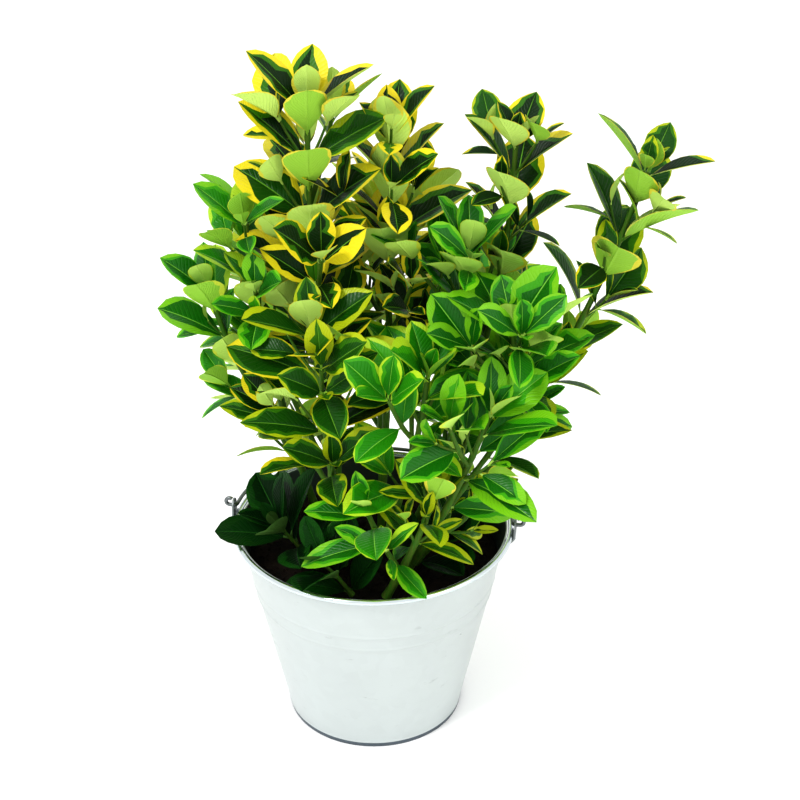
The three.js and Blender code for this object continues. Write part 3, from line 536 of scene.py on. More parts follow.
class Growth(Nodes):
    """A Geometry Nodes tree whose named inputs are the sizes of a piece."""

    def __init__(self, name):
        super().__init__(bpy.data.node_groups.new(name, "GeometryNodeTree"))
        for way in ("INPUT", "OUTPUT"):
            self.tree.interface.new_socket("Geometry", in_out=way, socket_type="NodeSocketGeometry")
        self.entry = self.tree.nodes.new("NodeGroupInput")
        self.exit = self.tree.nodes.new("NodeGroupOutput")
        self.base = Value(self, self.entry.outputs["Geometry"])
        self.values = {}

    def size(self, name, value):
        kind = {float: "Float", int: "Int"}.get(type(value), "Object")
        socket = self.tree.interface.new_socket(name, in_out="INPUT", socket_type="NodeSocket" + kind)
        self.values[socket.identifier] = value
        return Value(self, self.entry.outputs[name])

    def attribute(self, name, kind="FLOAT"):
        node = self.add("GeometryNodeInputNamedAttribute", {"Name": name}, data_type=kind)
        own = next(socket for socket in node.outputs if socket.enabled and socket.name == "Attribute")
        return Value(self, own)

    def direction(self, name):
        return self.attribute(name, "FLOAT_VECTOR")

    def finish(self, geometry, materials):
        """Ends in Realize Instances and Set Material; a material may have faces of its own."""
        geometry = self.output("GeometryNodeRealizeInstances", {"Geometry": geometry})
        geometry = self.output("GeometryNodeSetShadeSmooth", {"Geometry": geometry})
        for finish, chosen in materials:
            inputs = {"Geometry": geometry, "Material": finish}
            if chosen is not None:
                inputs["Selection"] = chosen
            geometry = self.output("GeometryNodeSetMaterial", inputs)
        self.put(self.exit.inputs[0], geometry)
        return self

    def piece(self, name, base=None):
        """The plain mesh that the tree makes from a base mesh, as an object."""
        grown_on = bpy.data.objects.new(name + "_base", base or bpy.data.meshes.new(name + "_base"))
        bpy.context.scene.collection.objects.link(grown_on)
        modifier = grown_on.modifiers.new("growth", "NODES")
        modifier.node_group = self.tree
        for identifier, value in self.values.items():
            modifier[identifier] = value
        view = bpy.context.evaluated_depsgraph_get()
        mesh = bpy.data.meshes.new_from_object(grown_on.evaluated_get(view))
        bpy.data.objects.remove(grown_on)
        return shown(name, with_full_slots(mesh))


def with_full_slots(mesh):
    """The mesh without the empty material slots that a tree leaves in it."""
    index = np.zeros(len(mesh.polygons), int)
    mesh.polygons.foreach_get("material_index", index)
    kept = [i for i, own in enumerate(mesh.materials) if own]
    place = {old: new for new, old in enumerate(kept)}
    index = np.array([place.get(i, 0) for i in index])
    materials = [mesh.materials[i] for i in kept]
    mesh.materials.clear()
    for own in materials:
        mesh.materials.append(own)
    mesh.polygons.foreach_set("material_index", index)
    return mesh


def shown(name, mesh):
    mesh.name = name
    piece = bpy.data.objects.new(name, mesh)
    bpy.context.scene.collection.objects.link(piece)
    return piece


def mesh_of(name, points, faces=(), edges=(), **attributes):
    """A mesh in metres from points in millimetres, with float or vector attributes on its points."""
    mesh = bpy.data.meshes.new(name)
    mesh.from_pydata(np.array(points, float) * MM, edges, faces)
    for key, values in attributes.items():
        set_attribute(mesh, key, values)
    return mesh


def set_attribute(mesh, name, values):
    values = np.array(values, float)
    single = values.ndim == 1
    layer = mesh.attributes.new(name, "FLOAT" if single else "FLOAT_VECTOR", "POINT")
    layer.data.foreach_set("value" if single else "vector", values.ravel())


# Materials

def paint(red, green, blue):
    """A screen colour from 0 to 255 as a shader's linear colour."""
    def linear(c):
        return c / 3294.6 if c <= 10 else ((c / 255 + 0.055) / 1.055) ** 2.4
    return (linear(red), linear(green), linear(blue), 1)


NOISE_RANGE = (0.3, 0.7)


class Finish(Nodes):
    """A material under construction."""

    def __init__(self, name, colour, roughness, metallic=0.0, specular=0.5):
        self.made = bpy.data.materials.new(name)
        self.made.use_nodes = True
        self.made.diffuse_color = colour
        super().__init__(self.made.node_tree)
        self.shader = self.tree.nodes["Principled BSDF"].inputs
        self.feed("Base Color", colour)
        self.feed("Roughness", roughness)
        self.feed("Metallic", metallic)
        self.feed("Specular IOR Level", specular)
        self.place = self.output("ShaderNodeTexCoord", gives="Object")

    def feed(self, name, value):
        self.put(self.shader[name], value)

    def stretched(self, scale):
        return self.output("ShaderNodeMapping", {"Vector": self.place, "Scale": scale})

    def bump(self, height, strength, distance):
        values = {"Height": height, "Strength": strength, "Distance": distance}
        self.feed("Normal", self.output("ShaderNodeBump", values))

    def grained(self, grain, low, high):
        """Lets the roughness follow a noise from low to high."""
        self.feed("Roughness", self.spread(grain, *NOISE_RANGE, low, high))

    def mix(self, share, one, other):
        """Colours the surface from one colour to the other by a share."""
        blend = self.add("ShaderNodeMix", {"Factor": share}, data_type="RGBA")
        for socket, colour in zip((s for s in blend.inputs if s.type == "RGBA"), (one, other)):
            self.put(socket, colour)
        self.feed("Base Color", Value(self, next(s for s in blend.outputs if s.type == "RGBA")))


LEAF_GRAIN = 700
GRAIN_DEPTH = 0.25
DULLER, GLOSSIER = 0.09, 0.07
RIB_WIDTH = 0.028
VEIN_SLANT = 0.75
VEIN_PITCH = 46
VEIN_SHARPNESS = 9
VEIN_DEPTH = 0.35


def leaf_skin(name, colour, gloss, shine, veins):
    """A leaf's surface: a plain colour with a grained gloss, the midrib and the side veins in relief."""
    skin = Finish(name, colour, gloss, specular=shine)
    grain = skin.noise(skin.place, LEAF_GRAIN, 2)
    skin.grained(grain, gloss - GLOSSIER, gloss + DULLER)
    along, aside, _ = skin.parts(skin.output("ShaderNodeUVMap", uv_map="blade"))
    across = abs(aside - 0.5)
    wave = skin.math("SINE", (along - across * VEIN_SLANT) * VEIN_PITCH)
    vein = skin.math("POWER", abs(wave), VEIN_SHARPNESS) * VEIN_DEPTH
    height = (skin.bell(across, 0, RIB_WIDTH) + vein) * veins + grain * GRAIN_DEPTH
    skin.bump(height, 0.7, 0.0009)
    return skin.made


SPANGLE_SCALE = 160.0
SPANGLE = 0.02
CLOUD_SCALE = 18
CLOUD_SHADE = (0.96, 1.03)
SCUFF_STRETCH = (60, 60, 190)
SCUFF_RANGE = (0.63, 0.74)
SCUFF_DARKER, SCUFF_ROUGHER = 0.22, 0.2
CLOUD_GLOSSIER, CLOUD_DULLER = 0.06, 0.08


def zinc(name, colour, metallic, roughness):
    """Galvanised sheet: soft spangle, faint clouds and a few small scuffs."""
    skin = Finish(name, colour, roughness, metallic)
    cells = skin.output("ShaderNodeTexVoronoi", {"Vector": skin.place, "Scale": SPANGLE_SCALE}, "Color")
    spangle = skin.spread(cells, 0, 1, -SPANGLE, SPANGLE)
    clouds = skin.noise(skin.place, CLOUD_SCALE, 4)
    scuffs = skin.spread(skin.noise(skin.stretched(SCUFF_STRETCH), 1, 6, 0.7), *SCUFF_RANGE, 0, 1)
    shade = skin.spread(clouds, *NOISE_RANGE, *CLOUD_SHADE) + spangle - scuffs * SCUFF_DARKER
    skin.feed("Base Color", skin.output("ShaderNodeHueSaturation", {"Color": colour, "Value": shade}))
    rough = skin.spread(clouds, *NOISE_RANGE, roughness - CLOUD_GLOSSIER, roughness + CLOUD_DULLER)
    skin.feed("Roughness", rough + spangle + scuffs * SCUFF_ROUGHER)
    skin.bump(skin.noise(skin.place, 60, 3), 0.12, 0.0006)
    return skin.made


def compost_material():
    skin = Finish("dark_compost", paint(30, 22, 17), 0.95, specular=0.2)
    grains = skin.noise(skin.place, 420, 6, 0.7)
    clods = skin.noise(skin.place, 70, 4)
    skin.mix(skin.spread(grains + clods, 0.75, 1.25, 0, 1), paint(7, 5, 4), paint(38, 26, 18))
    skin.bump(grains, 0.9, 0.002)
    return skin.made


def stem_bark():
    skin = Finish("green_stem_bark", paint(76, 118, 32), 0.6, specular=0.2)
    grain = skin.noise(skin.stretched((900, 900, 60)), 1, 4)
    skin.mix(skin.spread(grain, 0.35, 0.7, 0, 1), paint(56, 106, 24), paint(86, 106, 38))
    skin.grained(grain, 0.45, 0.65)
    skin.bump(grain, 0.6, 0.0006)
    return skin.made


ZINC = zinc("galvanised_sheet", paint(189, 196, 195), 0.4, 0.34)
BEAD_ZINC = zinc("galvanised_bead", paint(208, 217, 219), 1.0, 0.16)
# The inside wall is the same sheet painted dark and greenish: painted shade and a painted reflection of the
# compost and leaves
SHADED_INNER_ZINC = zinc("dulled_inner_sheet", paint(62, 74, 68), 0.5, 0.4)
# The lowest band of the outside at the foot is painted dark: a painted contact shadow under the hem
FOOT_SHADOW_ZINC = zinc("dark_foot_seam", paint(84, 94, 102), 0.5, 0.45)
WIRE_ZINC = zinc("galvanised_wire", paint(112, 117, 118), 0.9, 0.34)
EAR_ZINC = zinc("darkened_ear_plate", paint(132, 138, 139), 0.6, 0.42)
COMPOST = compost_material()
BARK = stem_bark()

# Leaf colours by tone, in the order of the zones; the plain leaves have a single underside
ZONES = (
    "centre", "pale_centre", "feather", "margin", "deep_margin", "midrib", "underside", "deep_underside",
    "edge_below",
)
BELOW = ZONES[6:]
LEAF_COLOURS = {
    "gold": ((8, 42, 4), (22, 72, 7), (52, 108, 12), (222, 204, 38), (166, 180, 24), (96, 150, 44),
             (208, 242, 122), (162, 212, 76), (236, 226, 80)),
    "lime": ((20, 98, 8), (36, 124, 10), (62, 152, 14), (116, 182, 28), (172, 206, 42), (124, 192, 66),
             (202, 240, 112), (156, 210, 70), (216, 230, 76)),
    "plain": ((5, 34, 7), (10, 48, 10), (13, 56, 11), (20, 68, 14), (14, 52, 10), (34, 84, 26),
              (84, 122, 58)),
}
# The sheen, and how round the blades are, least and most, by tone
LEAF_SHINE = {"gold": 0.18, "lime": 0.28, "plain": 0.06}
ROUNDNESS = {"gold": (0, 0.7), "lime": (0.35, 1), "plain": (0.3, 0.8)}
GLOSS_ABOVE, GLOSS_BELOW = 0.34, 0.6
VEINS_ABOVE, VEINS_BELOW = -0.6, 0.9
# How far the inner zones are pushed out towards the edge, least and most, by tone
ZONE_PUSH = {"gold": (-0.08, 0.22), "lime": (0.0, 0.28), "plain": (0.2, 0.2)}
# Shoots whose leaves have thin margins, and what that takes off a leaf's own number
THIN_MARGINS = ("third", "right", "low_left")
THIN_STREAKS = 0.22
# Young growth: how lime its margins are, and its share of the push, which is low for broad margins
YOUNG_GROWTH = {"crest": (0.3, 0.3), "low_gold": (0.9, -0.6), "rim_right": (0.9, -0.6)}
# A leaf's own numbers past which its centre is pale, its margin or its underside deep, its margin
# broad, and its centre as pale as the feathered zone
PALE_CENTRE = 0.5
DEEP_MARGIN = 0.55
DEEP_UNDERSIDE = 0.5
BROAD_MARGIN = 0.345
PALE_LEAF = 0.4


# Leaves

LEAF_ROWS = (0.1, 0.17, 0.27, 0.38, 0.49, 0.6, 0.71, 0.82, 0.92)
ZONE_ROWS = (0.1, 0.4, 0.75, 0.92)
CENTRE_EDGE = (0.66, 0.56, 0.4, 0.1)
FEATHER_EDGE = (0.86, 0.82, 0.7, 0.4)
MIDRIB = 0.024
EDGE_BELOW = 0.88
EDGE_BELOW_DEPTH = -0.3
LEAF_BLADE = 0.1
POINTED = (0.84, 0.94)
ROUNDED = (0.92, 0.62)
PETIOLE = 0.024
STALK_FOOT = 0.012
BACK_DEPTH, STALK_DEPTH = -1, -3
CREASE = 0.2
LEAF_WIDTH = 0.65
LEAF_THICKNESS = 0.009
# The most and the least that a zone's edge shifts, how far out it may come, and where the
# leaf's own edge is
MOST_SHIFT, LEAST_SHIFT = 0.4, -0.5
BY_THE_RIM, AT_THE_RIM = 0.95, 0.99
FOLD_INSIDE, FOLD_LOSS = 1.2, 0.3
# How fine each unevenness is along a leaf, and a place of its own in the noise
RAGGED_NOISE = (13.0, 0.0)
UNEVEN_NOISE = (1.3, 140.0)
TEETH_NOISE = (16.0, 31.0)
WAVE_NOISE = (4.2, 11.0)
HALVES_APART = 7.0
LEAVES_APART = 3.17
# The strips of faces that a leaf is made of
CENTRE_STRIP, FEATHER_STRIP, MARGIN_STRIP, BELOW_STRIP, STALK_STRIP, EDGE_STRIP, MIDRIB_STRIP = range(7)


def half_width(share, powers):
    """The half width of the blade at a share of the leaf's length, its greatest being 1."""
    low, high = powers
    u = max(0, (share - LEAF_BLADE) / (1 - LEAF_BLADE))
    top = low / (low + high)
    half = u ** low * (1 - u) ** high / (top ** low * (1 - top) ** high)
    return half if share == 1 else max(half, PETIOLE / LEAF_WIDTH * 2)


def leaf_template():
    """One flat leaf of unit length: its columns across, its underside and its short stalk."""
    points, ovals, faces, strips, ways = [], [], [], [], []

    def corner(share, across, depth):
        points.append((share, across * half_width(share, POINTED), depth))
        ovals.append(across * half_width(share, ROUNDED))
        ways.append((share, across, depth))
        return len(points) - 1

    def face(strip, *corners):
        faces.append(corners)
        strips.append(strip)

    # Above from left to right: edge, feather, centre, midrib and back. Below: middle, left and right
    rows = []
    for share in LEAF_ROWS:
        centre, feather = (float(np.interp(share, ZONE_ROWS, edge)) for edge in (CENTRE_EDGE, FEATHER_EDGE))
        columns = (-1, -feather, -centre, -MIDRIB, MIDRIB, centre, feather, 1)
        row = [corner(share, across, 0) for across in columns]
        row.append(corner(share, 0, BACK_DEPTH))
        row += [corner(share, side * EDGE_BELOW, EDGE_BELOW_DEPTH) for side in (-1, 1)]
        rows.append(row)
    left, middle, right = (corner(STALK_FOOT, across, 0) for across in (-1, 0, 1))
    low = corner(STALK_FOOT, 0, STALK_DEPTH)
    tip = corner(1, 0, 0)

    first, last = rows[0], rows[-1]
    face(STALK_STRIP, left, middle, *first[3::-1])
    face(MIDRIB_STRIP, middle, first[4], first[3])
    face(STALK_STRIP, middle, right, *first[7:3:-1])
    face(STALK_STRIP, low, left, first[0], first[9], first[8])
    face(STALK_STRIP, right, low, first[8], first[10], first[7])
    face(STALK_STRIP, left, low, right, middle)
    half = (MARGIN_STRIP, FEATHER_STRIP, CENTRE_STRIP)
    above = (*half, MIDRIB_STRIP, *half[::-1])
    bands = [(strip, k, k + 1) for k, strip in enumerate(above)]
    bands += [(EDGE_STRIP, 9, 0), (BELOW_STRIP, 8, 9), (BELOW_STRIP, 10, 8), (EDGE_STRIP, 7, 10)]
    for near, far in zip(rows, rows[1:]):
        for strip, k, n in bands:
            face(strip, near[k], near[n], far[n], far[k])
    for strip, k, n in bands:
        face(strip, last[k], last[n], tip)

    mesh = bpy.data.meshes.new("leaf_template")
    mesh.from_pydata(points, [], faces)
    set_attribute(mesh, "place", ways)
    set_attribute(mesh, "flat", points)
    set_attribute(mesh, "oval", ovals)
    layer = mesh.attributes.new("strip", "INT", "FACE")
    layer.data.foreach_set("value", strips)
    blade = mesh.uv_layers.new(name="blade")
    for loop in mesh.loops:
        share, across, _ = ways[loop.vertex_index]
        blade.data[loop.index].uv = (share, across / 2 + 0.5)
    return bpy.data.objects.new("leaf_template", mesh)


TEMPLATE = leaf_template()


def foliage(tone):
    """The tree that sets a leaf on every point and lays it along its own way and upper side."""
    growth = Growth("leaves_of_" + tone)
    template = growth.size("Leaf", TEMPLATE)
    width = growth.size("Width", LEAF_WIDTH / 2)
    thickness = growth.size("Thickness", LEAF_THICKNESS)
    wave = growth.size("Wave", 0.02)
    ragged = growth.size("Ragged edge", 1.7)
    uneven = growth.size("Uneven halves", 2.4)
    serration = growth.size("Serration", 0.12)
    seed = growth.size("Seed", 5)
    source = growth.output("GeometryNodeObjectInfo", {"Object": template}, "Geometry")
    leaves = growth.output("GeometryNodeInstanceOnPoints", {"Points": growth.base, "Instance": source})
    leaves = growth.output("GeometryNodeRealizeInstances", {"Geometry": leaves})

    share, aside, _ = growth.parts(growth.direction("place"))
    along, pointed, level = growth.parts(growth.direction("flat"))
    number = growth.attribute("number")
    length = growth.attribute("length")
    bend = growth.attribute("bend")
    way = growth.direction("way")
    face = growth.direction("face")
    side = growth.vector("CROSS_PRODUCT", way, face)

    def patch(fine, far):
        """A number from -0.5 to 0.5 that changes along the leaf and from half to half."""
        spot = growth.output("ShaderNodeCombineXYZ", {
            "X": share * fine + far, "Y": growth.math("SIGN", aside) * HALVES_APART,
            "Z": number * LEAVES_APART + seed})
        return growth.noise(spot, 1.0, 1) - 0.5

    def together(one, times, other, other_times):
        """The sum of two directions, each made so many times as long."""
        return growth.vector(
            "ADD", growth.vector("SCALE", one, times), growth.vector("SCALE", other, other_times))

    # The zones' edges wander between the midrib and the leaf's own edge, which has small teeth
    inner = abs(aside)
    freedom = inner * (1.0 - inner) * 4.0 * (inner > MIDRIB * 2)
    shift = patch(*RAGGED_NOISE) * ragged + patch(*UNEVEN_NOISE) * uneven + growth.attribute("push")
    shift = growth.math("MAXIMUM", growth.math("MINIMUM", shift, MOST_SHIFT), LEAST_SHIFT) * freedom
    rim = (inner > AT_THE_RIM) * (1 - BY_THE_RIM) + BY_THE_RIM
    moved = growth.math("MINIMUM", inner + shift, rim) / growth.math("MAXIMUM", inner, 0.01)
    teeth = inner * serration * patch(*TEETH_NOISE)
    reach = (moved + teeth) * (growth.attribute("girth") * width)
    rounder = (growth.attribute("oval") - pointed) * growth.attribute("roundness")
    across = (pointed + rounder) * reach
    lift = abs(across) * growth.attribute("fold") * (FOLD_INSIDE - inner * FOLD_LOSS)
    rise = lift + inner * patch(*WAVE_NOISE) * wave + level * thickness

    angle = bend * along
    radius = length / bend
    sine_part = growth.math("SINE", angle)
    cosine_part = growth.math("COSINE", angle)
    spine = together(way, radius * sine_part, face, radius * (cosine_part - 1.0))
    upper = together(face, cosine_part, way, sine_part)
    blade = together(side, across * length, upper, rise * length)
    laid = growth.vector("ADD", growth.direction("foot"), growth.vector("ADD", spine, blade))
    # No tip passes the box of the whole part
    least, most = (tuple(corner) for corner in cad_box)
    laid = growth.vector("MINIMUM", growth.vector("MAXIMUM", laid, least), most)
    laid = growth.output("GeometryNodeSetPosition", {"Geometry": leaves, "Position": laid})
    crease = growth.output("GeometryNodeInputMeshEdgeAngle") > CREASE
    laid = growth.output("GeometryNodeSetShadeSmooth", {
        "Geometry": laid, "Selection": crease, "Shade Smooth": False}, domain="EDGE")

    own_strip = growth.attribute("strip", "INT")
    tint = growth.attribute("tint")
    age = growth.attribute("margin")

    def on(strip):
        return growth.math("COMPARE", own_strip, float(strip), 0.1)

    margin = on(MARGIN_STRIP) | on(FEATHER_STRIP) & (age > BROAD_MARGIN)
    under = on(BELOW_STRIP) | on(STALK_STRIP) | on(EDGE_STRIP)
    where = (
        None, tint > PALE_CENTRE, on(FEATHER_STRIP) | on(CENTRE_STRIP) & (age > PALE_LEAF), margin,
        margin & (tint > DEEP_MARGIN), on(MIDRIB_STRIP), under, under & (tint > DEEP_UNDERSIDE),
        on(EDGE_STRIP))
    skins = []
    for zone, colour in zip(ZONES, LEAF_COLOURS[tone]):
        gloss, veins = (GLOSS_BELOW, VEINS_BELOW) if zone in BELOW else (GLOSS_ABOVE, VEINS_ABOVE)
        skins.append(leaf_skin(f"leaf_{tone}_{zone}", paint(*colour), gloss, LEAF_SHINE[tone], veins))
    return growth.finish(laid, list(zip(skins, where)))


YOUNG = (
    dict(size=0.6, opening=28, turn=90, back=0, bend=12, fold=14),
    dict(size=0.34, opening=16, turn=180, back=-1.5, bend=10, fold=20),
)
YOUNG_GIRTH = (0.72, 0.92)
YOUNG_JITTER = dict(turn=14, opening=10, roll=20)
LEAST_SIZE, SIZE_SPAN = 0.85, 0.3


def about(centre, span, draw):
    return centre + span * (draw() - 0.5)


def small_leaf(path, share, turn, opening, length, bend, jitter, draw):
    """A leaf of young or fine growth, each a little off what it is given."""
    turn = about(turn, jitter["turn"], draw)
    opening = about(opening, jitter["opening"], draw)
    length = length * (LEAST_SIZE + SIZE_SPAN * draw())
    return leaf_frame(path, share, turn, opening, about(0, jitter["roll"], draw), length, bend)


def young_leaves(axis, draw):
    """The two small pairs that close the tip of an axis."""
    last = axis["turn"] + 90 * (axis["pairs"] - 1)
    path = axis["path"]
    leaves = []
    for pair in YOUNG[:1] if axis["twig"] else YOUNG:
        for half in HALVES:
            turn, length = last + pair["turn"] + half, axis["leaf"] * pair["size"]
            leaf = small_leaf(path, 1, turn, pair["opening"], length, pair["bend"], YOUNG_JITTER, draw)
            leaf["at"] = leaf["at"] - path.tangent(1) * pair["back"]
            leaf["fold"] = pair["fold"]
            leaf["girth"] = lerp(*YOUNG_GIRTH, draw())
            leaves.append(leaf)
    return leaves


# The space that is taken: room in millimetres, shares of a leaf's length, and in degrees the
# stretch over the folded bail that stays free for it

GAP = 0.6
TESTED_ROOT = 0.14
TESTED_ROWS = ((0.3, 0.8), (0.62, 1.0))
TESTED_WIDTH = 0.75
TESTED_REACH = 0.6
TESTED_FACES = (
    (0, 1, 2), (0, 2, 3), (1, 4, 5), (1, 5, 2), (2, 5, 6), (2, 6, 3), (4, 7, 5), (5, 7, 6),
)
OWN_FOOT = 0.2
LIMB_STEPS = 12
LIMB_NEAR = 3
LIMB_ROOM = 2.2
SOIL_ROOM = 1.2
RIM_ROOM = 1.6
RIM_DEPTH = 5
EAR_ROOM = 6
SWEPT_ROOM = 3
SWEPT_FROM, SWEPT_TO = -6, 35


def tested_points(leaf):
    """The middle surface of a leaf as a few triangles, from just past its stalk."""
    points = [leaf_spine(leaf, TESTED_ROOT)[0]]
    for share, half in TESTED_ROWS:
        point, face = leaf_spine(leaf, share)
        h = half * LEAF_WIDTH * leaf["length"] * TESTED_WIDTH / 2
        for sign in (-1, 0, 1):
            points.append(point + leaf["side"] * (sign * h) + face * (abs(sign) * h * sine(FOLD)))
    points.append(leaf_spine(leaf, 1)[0])
    return points


class Space:
    """What is taken: every leaf and every limb so far."""

    def __init__(self):
        self.leaves = []
        self.limbs = []

    def body(self, leaf):
        points = tested_points(leaf)
        tree = BVHTree.FromPolygons(points, TESTED_FACES)
        return leaf_spine(leaf, 0.5)[0], leaf["length"] * TESTED_REACH, tree, points

    def add_leaf(self, leaf):
        self.leaves.append(self.body(leaf))

    def add_limb(self, path):
        self.limbs.append(np.array([path.point(i / LIMB_STEPS) for i in range(LIMB_STEPS + 1)]))

    def free(self, leaf, box):
        """The leaf's body, where it touches nothing that is taken and stays in the box."""
        middle, reach, tree, points = body = self.body(leaf)
        low, high = box
        for p in points:
            if (p < low).any() or (p > high).any() or hits_bucket(p) or hits_bail(p):
                return None
        for spots in self.limbs:
            for spot in spots[np.linalg.norm(spots - middle, axis=1) < reach + LIMB_NEAR]:
                near = tree.find_nearest(Vector(spot), LIMB_ROOM + GAP)
                if near[0] is not None and np.linalg.norm(spot - leaf["at"]) > leaf["length"] * OWN_FOOT:
                    return None
        for other_middle, other_reach, other, _ in self.leaves:
            if np.linalg.norm(middle - other_middle) < reach + other_reach and tree.overlap(other):
                return None
        return body


def wall_radius(z):
    """The bucket's outer radius at a height."""
    return lerp(FOOT_RADIUS, RIM_RADIUS - 2 * BEAD_RADIUS, z / BUCKET_HEIGHT)


def hits_bucket(p):
    """True where a point lies in the compost, at the wall or the rim's bead, or outside the wall."""
    if p[2] < SOIL_TOP + SOIL_ROOM:
        return True
    if p[2] > BUCKET_HEIGHT + RIM_ROOM:
        return False
    room = wall_radius(p[2]) - SHEET
    if p[2] > BUCKET_HEIGHT - RIM_DEPTH:
        room = min(room, RIM_RADIUS - 2 * BEAD_RADIUS)
    return math.hypot(p[0], p[1]) > room - RIM_ROOM


def hits_bail(p):
    """True where a point lies in the shell that the bail sweeps, or at an ear."""
    along = p[0] * cosine(EAR_TURN) + p[1] * sine(EAR_TURN)
    back = -p[0] * sine(EAR_TURN) + p[1] * cosine(EAR_TURN)
    up = p[2] - HINGE_HEIGHT
    if abs(along) > EAR_FACE - EAR_ROOM and math.hypot(back, up) < EAR_EYE + EAR_ROOM:
        return True
    if abs(math.sqrt(along ** 2 + back ** 2 + up ** 2) - BAIL_RADIUS) > WIRE_RADIUS + SWEPT_ROOM:
        return False
    return SWEPT_FROM < math.degrees(math.atan2(up, back)) < SWEPT_TO


# The finer shoots that fill the axils

AXIL_LENGTH = (0.26, 0.52)
AXIL_TWIG_LENGTH = 0.75
AXIL_OPENING = (34, 56)
AXIL_REACH = 0.92
AXIL_RISE = 0.22
# Its pairs of leaves: the share of its path, how far they open and their size
AXIL_PAIRS = ((0.62, 62, 0.56), (1.0, 40, 0.74), (1.0, 20, 0.42))
AXIL_BEND = 22
AXIL_GIRTH = (0.64, 0.84)
AXIL_FOLD = (12, 24)
AXIL_JITTER = dict(turn=26, opening=14, roll=26)
AXIL_TURN_JITTER = 24
AXIL_SEEDS = 100000
AXIL_RADII = (1.0, 0.7)
FEWEST_LEAVES = 2


def pair_shares(axis):
    """The share of an axis's path at which each pair of leaves stands."""
    shares = []
    for pair in range(axis["pairs"]):
        p = pair / (axis["pairs"] - 1) if axis["pairs"] > 1 else 1
        shares.append(lerp(axis["start"], 1, lerp(axis["first"], 1, p ** INTERNODE_POWER)))
    return shares


def axil_leaves(path, bearing, whole, own, box):
    """The leaves of a short shoot that find room, each with its body."""
    leaves = []
    for row, (place, spread, size) in enumerate(AXIL_PAIRS):
        for half in HALVES:
            turn = bearing + 90 * row + half
            leaf = small_leaf(path, place, turn, spread, whole * size, AXIL_BEND, AXIL_JITTER, own)
            leaf["fold"] = lerp(*AXIL_FOLD, own())
            leaf["girth"] = lerp(*AXIL_GIRTH, own())
            body = space.free(leaf, box)
            if body:
                leaves.append((leaf, body))
    return leaves


def axil_shoots(axis, box, draw):
    """The short shoots in the axils of an axis, each with two pairs of leaves and a young pair."""
    shoots = []
    for pair, share in enumerate(pair_shares(axis)[:-1]):
        for half in HALVES:
            bearing = about(axis["turn"] + 90 * pair + half, AXIL_TURN_JITTER, draw)
            opening = lerp(*AXIL_OPENING, draw())
            length = axis["leaf"] * lerp(*AXIL_LENGTH, draw()) * (AXIL_TWIG_LENGTH if axis["twig"] else 1)
            # One number is left out, because the growth was set with it in the row
            draw()
            own = random_from(int(1 + draw() * AXIL_SEEDS))
            foot = leaf_frame(axis["path"], share, bearing, opening, 0, length, 1)
            bend = foot["at"] + foot["way"] * (length * 0.5)
            tip = foot["at"] + foot["way"] * (length * AXIL_REACH) + UP * (length * AXIL_RISE)
            path = Arc(foot["at"], bend, tip)
            leaves = axil_leaves(path, bearing, axis["leaf"], own, box)
            if len(leaves) >= FEWEST_LEAVES:
                space.leaves += [body for _, body in leaves]
                shoots.append(dict(path=path, leaves=[leaf for leaf, _ in leaves]))
    return shoots


FOLD_DRAW = 900
AXIL_DRAW = 1700
TINT_DRAW = 2500
FOLDS = (10, 22)
GIRTH = (0.72, 0.98)

grown = [(shoot, grow(shoot)) for shoot in SHOOTS]
space = Space()
for shoot, axes in grown:
    draw = random_from(shoot["seed"] + FOLD_DRAW)
    for axis in axes:
        space.add_limb(axis["path"])
        for leaf in axis["leaves"]:
            leaf["fold"] = lerp(*FOLDS, draw())
            leaf["girth"] = lerp(*GIRTH, draw())
            space.add_leaf(leaf)
        axis["young"] = young_leaves(axis, draw)
        for leaf in axis["young"]:
            space.add_leaf(leaf)
for shoot, axes in grown:
    draw = random_from(shoot["seed"] + AXIL_DRAW)
    box = [np.array(corner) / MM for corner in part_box("leaves_" + shoot["name"])]
    for axis in axes:
        axis["axils"] = [] if shoot["tone"] == "plain" else axil_shoots(axis, box, draw)


LOW_CROWN, HIGH_CROWN = 140, 260
LOW_GIRTH = 0.66
PLAIN_GIRTH = 0.9
TINT_SPAN = 0.7
PUSH_SPAN = 0.12
LEAST_MARGIN, MARGIN_SPAN = 0.16, 0.26


def clamped(value):
    return min(1, max(0, value))


def girth_at(leaf, tone):
    """Leaves low in the crown are narrower, the plain ones at its foot only a little."""
    share = (leaf["at"][2] - LOW_CROWN) / (HIGH_CROWN - LOW_CROWN)
    return leaf["girth"] * lerp(PLAIN_GIRTH if tone == "plain" else LOW_GIRTH, 1, clamped(share))


